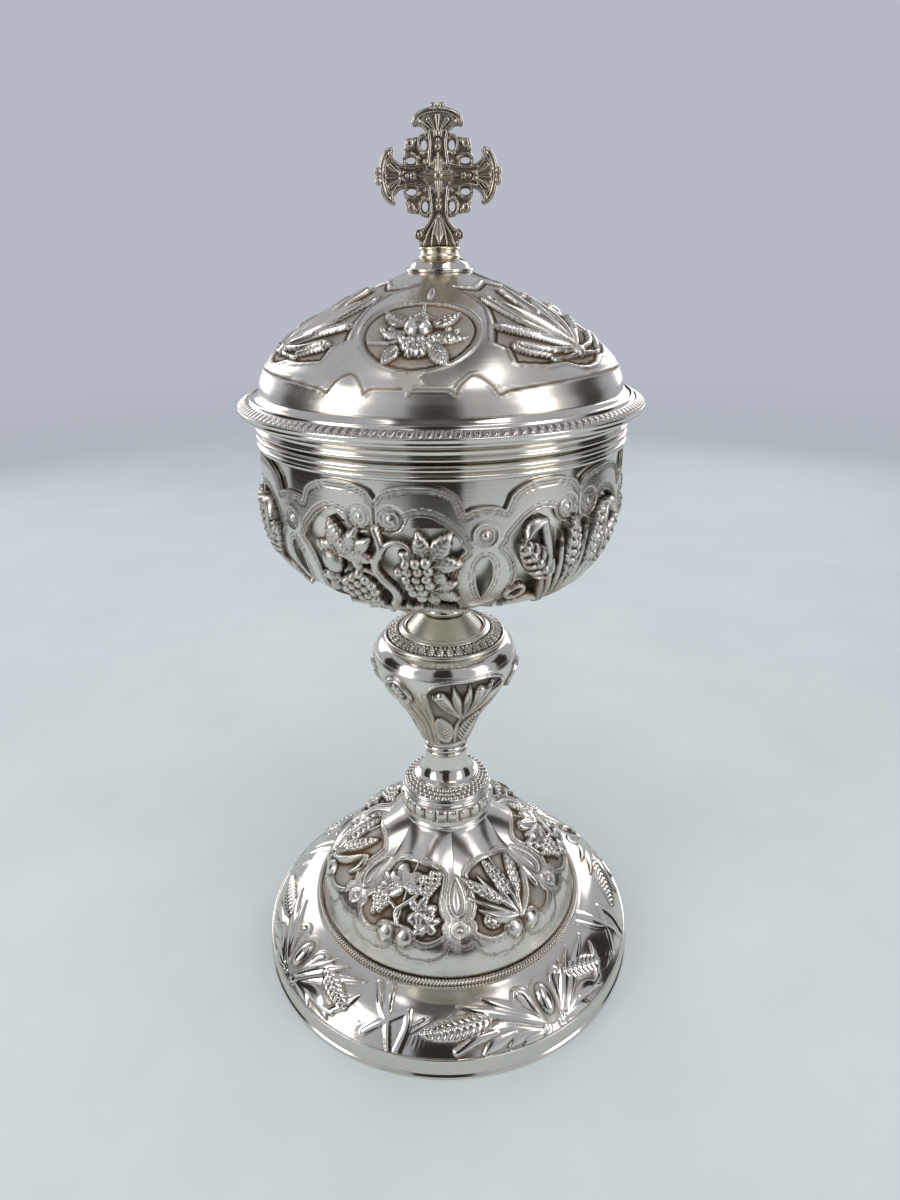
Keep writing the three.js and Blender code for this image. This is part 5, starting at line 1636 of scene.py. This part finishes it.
def chase_star(relief, azimuth, level):
    """A star-shaped panel with a matt ground, and reeds fanned across it."""
    x, y = relief.around(azimuth, level)
    right = [(0, 19.2), (6.5, 15.6), (13.4, 17.6), (10.8, 12.4), (12.2, 5), (16.6, -1.5), (23.6, -9.4),
             (21.4, -12.4), (23.2, -17.2), (14.5, -18.6), (9.0, -18.2), (4.2, -20.2), (0, -20.6)]
    inside = region(x, y, mirrored(right))
    relief.sink(inside, 0.35, 1.0, 0.4)
    relief.height += 0.26 * roll(inside + 0.5, 0.42) - 0.22 * roll(inside - 0.9, 0.25)
    relief.tarnish += 0.5 * roll(inside - 0.9, 0.35) + 0.35 * roll(inside + 1.1, 0.25)
    relief.lay(star_reeds(), azimuth, level, drop=0.3)


def star_reeds():
    """Blades, reeds and folded ribbons to both sides of a cattail, fanned from the foot of a star."""
    fan = []
    for side in (-1, 1):
        fan += [
            (blade([(0, -14), (side * 3, -2), (side * 8.4, 8)], 3.4, 1.2), 0),
            (strip([(side, -13), (side * 8, -3), (side * 9.4, 7.6), (side * 8.6, 9.6)], 2.4, 1.3, 0.4, 1.1),
             0),
            (blade([(side, -14), (side * 8, -9), (side * 16, -6)], 3.0, 1.0), 0),
            (cattail([(side * 9, -8.4), (side * 14, -5.6), (side * 17.4, -4.0)], 3.0, 1.5), 0.2),
            (strip([(side * 2, -15), (side * 11, -13.6), (side * 17.4, -11), (side * 19, -13),
                    (side * 12, -16)], 2.0, 1.3, 0.5, 0.6, 0.3), 0),
            (strip([(side * 2, -16.5), (side * 7, -17), (side * 12, -17.2)], 1.6, 1.0, 0.6, 0.3), 0),
        ]
    fan += [
        (blade([(0, -15), (0.4, -2), (0, 12)], 4.2, 1.3), 0.1),
        (cattail([(0, 0), (0, 6), (0, 12.5)], 2.8, 1.6), 0.5),
        (moved(bump(2.6, 2.0, 1.4), 0, -15.5), 0.2),
    ]
    return fan


class BuildLidTop(bpy.types.Operator):
    """Turns the cap on the lid's crown and the pale collar under the cross"""
    bl_idname = "ciborium.lid_top"
    bl_label = "Lid top"

    def execute(self, context):
        low, high, radius = extent("lid_cap")
        neck = 6.1
        turned("lid_cap", np.vstack([
            [(STUD_HOLE, low), (radius - 0.2, low)], arc((radius - 0.6, low + 0.6), 0.6, -80, 90, 10),
            bend((radius - 0.9, low + 1.2), (neck, high), [(0.35, 0.6), (0.8, 0.9)], 14),
            [(STUD_HOLE, high)],
        ]), columns=160)
        low, high, radius = extent("cross_collar")
        turned("cross_collar", np.vstack([
            [(STUD_HOLE, low), (radius - 0.3, low)], arc((radius - 0.5, low + 0.5), 0.5, -60, 60, 8),
            [(radius - 0.5, low + 1.3), (radius - 0.6, high - 0.9)],
            arc((radius - 0.6, high - 0.5), 0.5, -60, 80, 8), [(STUD_HOLE, high)],
        ]), "pale gilding", 128)
        return {"FINISHED"}


class BuildCross(bpy.types.Operator):
    """Casts the cross: three fans and a foot round a star, with pierced corners, front and back alike"""
    bl_idname = "ciborium.cross"
    bl_label = "Cross"

    def execute(self, context):
        low, high = (np.array(corner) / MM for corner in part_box("cross"))
        half, cell, edge = (high[1] - low[1]) / 2, 0.16, 0.8
        span = high[0] - low[0] + 1.2
        rows = round((high[2] - low[2]) / cell)
        heights = np.linspace(low[2] - 2 * cell, high[2] + cell, rows)
        # A flat relief: at this radius a degree of azimuth is a millimetre
        radius = np.degrees(1)
        relief = Relief(np.column_stack([np.full(rows, radius), heights]), round(span / cell), span)
        cast_cross(relief, span / 2, relief.level(high[2] - (high[0] - low[0]) / 2))
        inside = relief.metal.copy()
        inside[:, [0, -1]] = -1
        inside[-1] = -1
        rounding = roll(1 - np.clip(inside / edge, 0, 1), 1)
        lift = half * (0.3 + 0.24 * rounding) + relief.height
        lift = np.minimum(lift, half - 0.02)
        x = np.broadcast_to(relief.azimuth - span / 2, inside.shape)
        z = np.broadcast_to(heights[:, None], inside.shape)
        front, back = np.stack([x, -lift, z], axis=-1), np.stack([x, lift, z], axis=-1)
        points, faces, channels = pierced(front, back, inside, {"cavity": relief.cavity(1, 4)})
        # The cut edge lies between two rows, which can be a hair over the node's box
        points[:, 2] = np.minimum(points[:, 2], high[2])
        make_piece("cross", points, faces, "oxidised silver", channels, 60)
        return {"FINISHED"}


def plate(outline, rise):
    """A flat plate of this outline."""
    def form(u, v):
        return np.full(np.shape(u), rise), region(u, v, np.asarray(outline, float))
    return form


def cast_cross(relief, x, y):
    """Everything on the cross, in millimetres from its centre, and two holes in each corner."""
    corners = [(side_x, side_y) for side_x in (-1, 1) for side_y in (-1, 1)]
    for heading in (0, 90, 270):
        relief.lay(cross_fan(), x, y, heading)
    relief.lay(cross_foot(), x, y, 180)
    for side_x, side_y in corners:
        relief.lay(cross_corner(side_x, side_y), x, y)
    for heading in (0, 90, 180, 270):
        relief.put(strip([(0, 0), (0, 3), (0, 6.2)], 3.2, 0.55, 0.9, 0.05, 0, 0.8), x, y, heading, 0.1)
        relief.put(moved(lobed_leaf(4.4, 0.6), 0.9, 0.9, 45), x, y, heading, 0.0)
    relief.put(bump(1.3, 1.3, 0.9), x, y, 0, 0.5)
    across, up = relief.around(x, y)
    for side_x, side_y in corners:
        for place, radii in (((3.7, 7.3), (0.8, 1.3)), ((7.3, 3.75), (1.3, 0.85))):
            out = np.hypot((across * side_x - place[0]) / radii[0], (up * side_y - place[1]) / radii[1])
            relief.metal = np.minimum(relief.metal, (out - 1) * min(radii))


def cross_fan():
    """One upper arm: a waisted plate between two rails, a fan of buds and a crescent cap."""
    arm = [(0, 15.4), (1.5, 16.0), (3.4, 15.2), (5.4, 14.2),
           (6.4, 13.0), (6.2, 12.2), (4.6, 11.9), (3.4, 11.2),
           (2.6, 9.6), (2.5, 5), (2.6, 1), (0, 0.5)]
    forms = [
        (plate(mirrored(arm), 0.0), -0.1),
        (strip([(-6.1, 12.5), (-5.4, 13.8), (-3.2, 14.9), (0, 15.3), (3.2, 14.9), (5.4, 13.8), (6.1, 12.5)],
               1.5, 0.55), 0.15),
        (strip([(-4.9, 12.5), (-3, 13.9), (0, 14.4), (3, 13.9), (4.9, 12.5)], 0.55, 0.45), 0.05),
        (moved(bump(1.0, 1.0, 0.8), 0, 6.8), 0.15), (moved(bump(0.7, 0.7, 0.6), 0, 8.4), 0.1),
        (strip([(0, 9.4), (0, 13.6)], 1.5, 0.6, 0.25, 1), 0.1),
    ]
    for side in (-1, 1):
        forms += [
            (strip([(side * 2.6, 2.6), (side * 2.1, 7),
                    (side * 2.5, 10), (side * 3.7, 11.8), (side * 5.4, 12.5)],
                   0.9, 0.5), 0.15),
            (moved(bump(1.0, 1.0, 0.8), side * 1.15, 16.1), 0.3),
            (moved(bump(0.75, 0.75, 0.6), side * 5.3, 12.6), 0.3),
            (strip([(side * 0.2, 9.4), (side * 1.3, 11.4), (side * 2.5, 13.0)], 1.35, 0.6, 0.25, 1), 0.1),
            (strip([(side * 0.3, 9.4), (side * 2, 10.8), (side * 3.9, 12.0)], 1.0, 0.5, 0.25, 1), 0.1),
            (moved(bump(0.55, 0.95, 0.7), side * 0.75, 9.7, side * -20), 0.3),
        ]
    return forms


def cross_foot():
    """The lower arm, pointing ahead: a spreading leaf between rails that end in volutes."""
    arm = [(0, 17.3), (5.4, 17.3), (5.6, 15.8), (6.6, 15.2),
           (6.6, 13.9), (5.0, 13.0), (3.3, 11.6), (2.6, 9.5),
           (2.5, 5), (2.6, 1), (0, 0.5)]
    forms = [
        (plate(mirrored(arm), 0.0), -0.1), (moved(bump(1.0, 1.0, 0.8), 0, 7.5), 0.15),
        (moved(bump(0.8, 0.8, 0.6), 0, 5.9), 0.15),
        (blade([(0, 9.6), (0, 13.5), (0, 17.2)], 2.8, 0.55), 0.1),
    ]
    for side in (-1, 1):
        forms += [
            (strip([(side * 2.6, 2.6), (side * 2.1, 7),
                    (side * 2.5, 10.5), (side * 3.8, 12.6), (side * 5.0, 13.6)],
                   0.9, 0.5), 0.15),
            (moved(scroll(1.35, 0.7), side * 5.3, 14.3), 0.3),
            (strip([(side * 0.4, 10.2), (side * 1.6, 13.4), (side * 2.2, 17.0)], 1.3, 0.5, 0.4, 0.8, 0, 0.4),
             0.1),
            (strip([(side * 1, 10.6), (side * 2.9, 13.6), (side * 4.3, 16.9)], 1.3, 0.5, 0.4, 0.9, 0, 0.4),
             0.1),
        ]
    return forms


def cross_corner(side_x, side_y):
    """The plate in one corner, with a knob at its tip and small beads inside."""
    def at(*points):
        return [(side_x * px, side_y * py) for px, py in points]

    edge = at((1, 1), (1, 9.0), (3.4, 9.9), (5.2, 9.2), (6.6, 9.0), (8.6, 8.6), (8.9, 7.2), (8.6, 6.0),
              (9.4, 4.6), (9.3, 1))
    knobs = []
    for place, radius, rise, base in (((7.5, 7.6), 1.35, 1.0, 0.25), ((6.3, 8.3), 0.7, 0.6, 0.25),
                                      ((8.3, 6.5), 0.7, 0.6, 0.25), ((4.1, 5.4), 0.75, 0.7, 0.2),
                                      ((5.4, 4.2), 0.75, 0.7, 0.2)):
        knobs.append((moved(bump(radius, radius, rise), *at(place)[0]), base))
    return [
        (plate(edge, 0.0), -0.1), *knobs,
        (strip(at((2.8, 5.6), (4.6, 6.2), (5.2, 7.8), (4.6, 9.2), (3.4, 9.6)), 0.75, 0.4), 0.1),
        (strip(at((5.6, 2.8), (6.3, 4.6), (7.8, 5.2), (9.0, 4.4)), 0.75, 0.4), 0.1),
    ]


# Stage

class BuildStage(bpy.types.Operator):
    """Lays the floor and sets the lights, the background and the camera"""
    bl_idname = "ciborium.stage"
    bl_label = "Stage"

    def execute(self, context):
        context.scene.view_settings.view_transform = "Standard"
        set_camera(context.scene)
        lay_floor()
        set_world(context.scene)
        set_lights()
        return {"FINISHED"}


def set_camera(scene):
    """The camera stands in front of and above the object and looks down at it.

    Its place, angles in radians and lens come from a fit to the ellipses of foot, rim and knop.
    """
    pitch, yaw, roll_angle = 0.415, 0.0155, -0.0106
    place = np.array([-1.7775, -241.56, 245.606]) * MM
    ahead = np.array([np.sin(yaw) * np.cos(pitch), np.cos(yaw) * np.cos(pitch), -np.sin(pitch)])
    right = np.array([np.cos(yaw), -np.sin(yaw), 0])
    up = np.cross(right, ahead)
    cos, sin = np.cos(roll_angle), np.sin(roll_angle)
    right, up = right * cos + up * sin, up * cos - right * sin
    data = bpy.data.cameras.new("camera")
    data.sensor_width = 36
    data.lens = 23.7
    data.clip_start = 0.01
    data.clip_end = 50
    camera = placed("camera", data)
    turn = np.eye(4)
    turn[:3, :3] = np.column_stack([right, up, -ahead])
    turn[:3, 3] = place
    camera.matrix_world = Matrix(turn.tolist())
    scene.camera = camera


def lay_floor():
    """A round pale floor that fades into the background away from the object."""
    rings = np.array([0, 60, 120, 200, 320, 480, 700, 1000, 1500, 2500, 4000.0])
    columns, under_foot = 96, -0.02
    profile = np.column_stack([rings, np.full(len(rings), under_foot)])
    points = spun(profile[::-1], np.arange(columns) * 360 / columns).reshape(-1, 3)
    mesh = bpy.data.meshes.new("floor")
    mesh.from_pydata((points * MM).tolist(), [], grid_faces(len(rings), columns, False, True).tolist())
    mesh.validate()
    material, nodes = new_material("pale floor")
    place = nodes.place()
    shade = nodes.mixed(nodes.noise(place, 14, 5, 0.6), (0.50, 0.55, 0.55, 1), (0.60, 0.64, 0.63, 1))
    cloth = nodes.add("BsdfDiffuse", Color=shade).outputs["BSDF"]
    clear = nodes.add("BsdfTransparent").outputs["BSDF"]
    distance = nodes.add("VectorMath")
    distance.operation = "LENGTH"
    nodes.feed(distance.inputs[0], place)
    fade = nodes.ranged(distance.outputs["Value"], 0.25, 1.6)
    nodes.add("OutputMaterial", Surface=nodes.blended(fade, cloth, clear))
    mesh.materials.append(material)
    placed("floor", mesh)


def set_world(scene):
    """A pale background for the camera and for reflections, and a slightly brighter one as a light."""
    world = bpy.data.worlds.new("studio")
    scene.world = world
    nodes = Nodes(world)
    path = nodes.add("LightPath").outputs
    share = nodes.calculate("MAXIMUM", path["Is Camera Ray"], path["Is Glossy Ray"])
    share = nodes.calculate("MAXIMUM", share, path["Is Transmission Ray"])
    lit = nodes.add("Background", Color=(0.60, 0.63, 0.68, 1)).outputs["Background"]
    seen = nodes.add("Background", Color=(0.47, 0.49, 0.56, 1)).outputs["Background"]
    nodes.add("OutputWorld", Surface=nodes.blended(share, lit, seen))


def set_lights():
    """Soft windows to both sides and above, and dark boards between them for the silver to reflect."""
    soft_light("window_left", -62, 760, 420, (300, 560), 1.7)
    soft_light("window_right", 58, 700, 360, (240, 520), 1.1)
    soft_light("window_back", 150, 800, 420, (360, 520), 1.2)
    soft_light("window_back_left", 222, 800, 420, (360, 520), 1.2)
    soft_light("light_above", 10, 240, 900, (620, 620), 2.4)
    dark_brown, dark_grey = (0.03, 0.026, 0.022), (0.04, 0.04, 0.045)
    board("board_front", -4, 430, 560, (230, 1150), dark_brown)
    board("board_low", -8, 700, 60, (700, 180), dark_brown)
    board("board_right", 98, 620, 230, (300, 560), dark_brown)
    board("board_back", 176, 640, 230, (240, 560), dark_brown)
    board("board_left", 268, 620, 230, (340, 560), dark_brown)
    board("board_above", -12, 90, 780, (340, 640), dark_grey, 90)


def around_axis(azimuth, distance, height):
    """A place at this azimuth and distance from the axis."""
    turn = np.radians(azimuth)
    return np.array([distance * np.sin(turn), -distance * np.cos(turn), height])


def facing(place, target):
    """A turn that points -Z from the place to the target, with +Y as near up as it can be."""
    ahead = np.array(target, float) - np.array(place, float)
    ahead /= np.linalg.norm(ahead)
    side = np.cross(ahead, [0, 0, 1] if abs(ahead[2]) < 0.99 else [0, 1, 0])
    side /= np.linalg.norm(side)
    turn = np.eye(4)
    turn[:3, :3] = np.column_stack([side, np.cross(side, ahead), -ahead])
    turn[:3, 3] = np.array(place) * MM
    return Matrix(turn.tolist())


def soft_light(name, azimuth, distance, height, size, power):
    """A rectangular lamp of this size and power in watts, pointed at the middle of the object."""
    data = bpy.data.lights.new(name, "AREA")
    data.shape = "RECTANGLE"
    data.size, data.size_y = size[0] * MM, size[1] * MM
    data.energy = power
    middle = (0, 0, 130)
    placed(name, data).matrix_world = facing(around_axis(azimuth, distance, height), middle)


def board(name, azimuth, distance, height, size, color, lean=0):
    """A flat board that only reflections see: upright, or leaning over the object by degrees."""
    turn = np.radians(azimuth)
    along_board = np.array([np.cos(turn), np.sin(turn), 0]) * size[0] / 2
    tilt = np.radians(lean)
    upright = (around_axis(azimuth, -np.sin(tilt), np.cos(tilt))) * size[1] / 2
    centre = around_axis(azimuth, distance, height)
    corners = [centre - along_board - upright, centre + along_board - upright,
               centre + along_board + upright, centre - along_board + upright]
    mesh = bpy.data.meshes.new(name)
    mesh.from_pydata((np.array(corners) * MM).tolist(), [], [(3, 2, 1, 0)])
    material, nodes = new_material(name)
    glow = nodes.add("Emission", Color=(*color, 1)).outputs["Emission"]
    nodes.add("OutputMaterial", Surface=glow)
    mesh.materials.append(material)
    screen = placed(name, mesh)
    screen.visible_camera = False
    screen.visible_diffuse = False
    screen.visible_shadow = False
    screen.visible_transmission = False


class CiboriumPanel(bpy.types.Panel):
    """Lists the sizes, the finishes and the pieces"""
    bl_idname = "VIEW3D_PT_ciborium"
    bl_label = "Ciborium"
    bl_space_type = "VIEW_3D"
    bl_region_type = "UI"
    bl_category = "Ciborium"

    def draw(self, context):
        for settings in (context.scene.ciborium_finish, context.scene.ciborium_detail):
            for name in settings.__annotations__:
                self.layout.prop(settings, name)
        for step in BUILD_ORDER:
            self.layout.operator(step.bl_idname)


BUILD_ORDER = (BuildFootRim, BuildFootDome, BuildFastenings, BuildCollars, BuildKnop, BuildNeck,
               BuildBasket, BuildCup, BuildLidRim, BuildLidDome, BuildLidTop, BuildCross, BuildStage)
SETTINGS = (("ciborium_finish", CiboriumFinish), ("ciborium_detail", CiboriumDetail))


def register():
    for name, group in SETTINGS:
        bpy.utils.register_class(group)
        setattr(bpy.types.Scene, name, bpy.props.PointerProperty(type=group))
    for item in (*BUILD_ORDER, CiboriumPanel):
        bpy.utils.register_class(item)


def unregister():
    for item in (CiboriumPanel, *reversed(BUILD_ORDER)):
        bpy.utils.unregister_class(item)
    for name, group in SETTINGS:
        delattr(bpy.types.Scene, name)
        bpy.utils.unregister_class(group)


def main():
    register()
    for step in BUILD_ORDER:
        group, name = step.bl_idname.split(".")
        getattr(getattr(bpy.ops, group), name)()


if __name__ == "__main__":
    main()
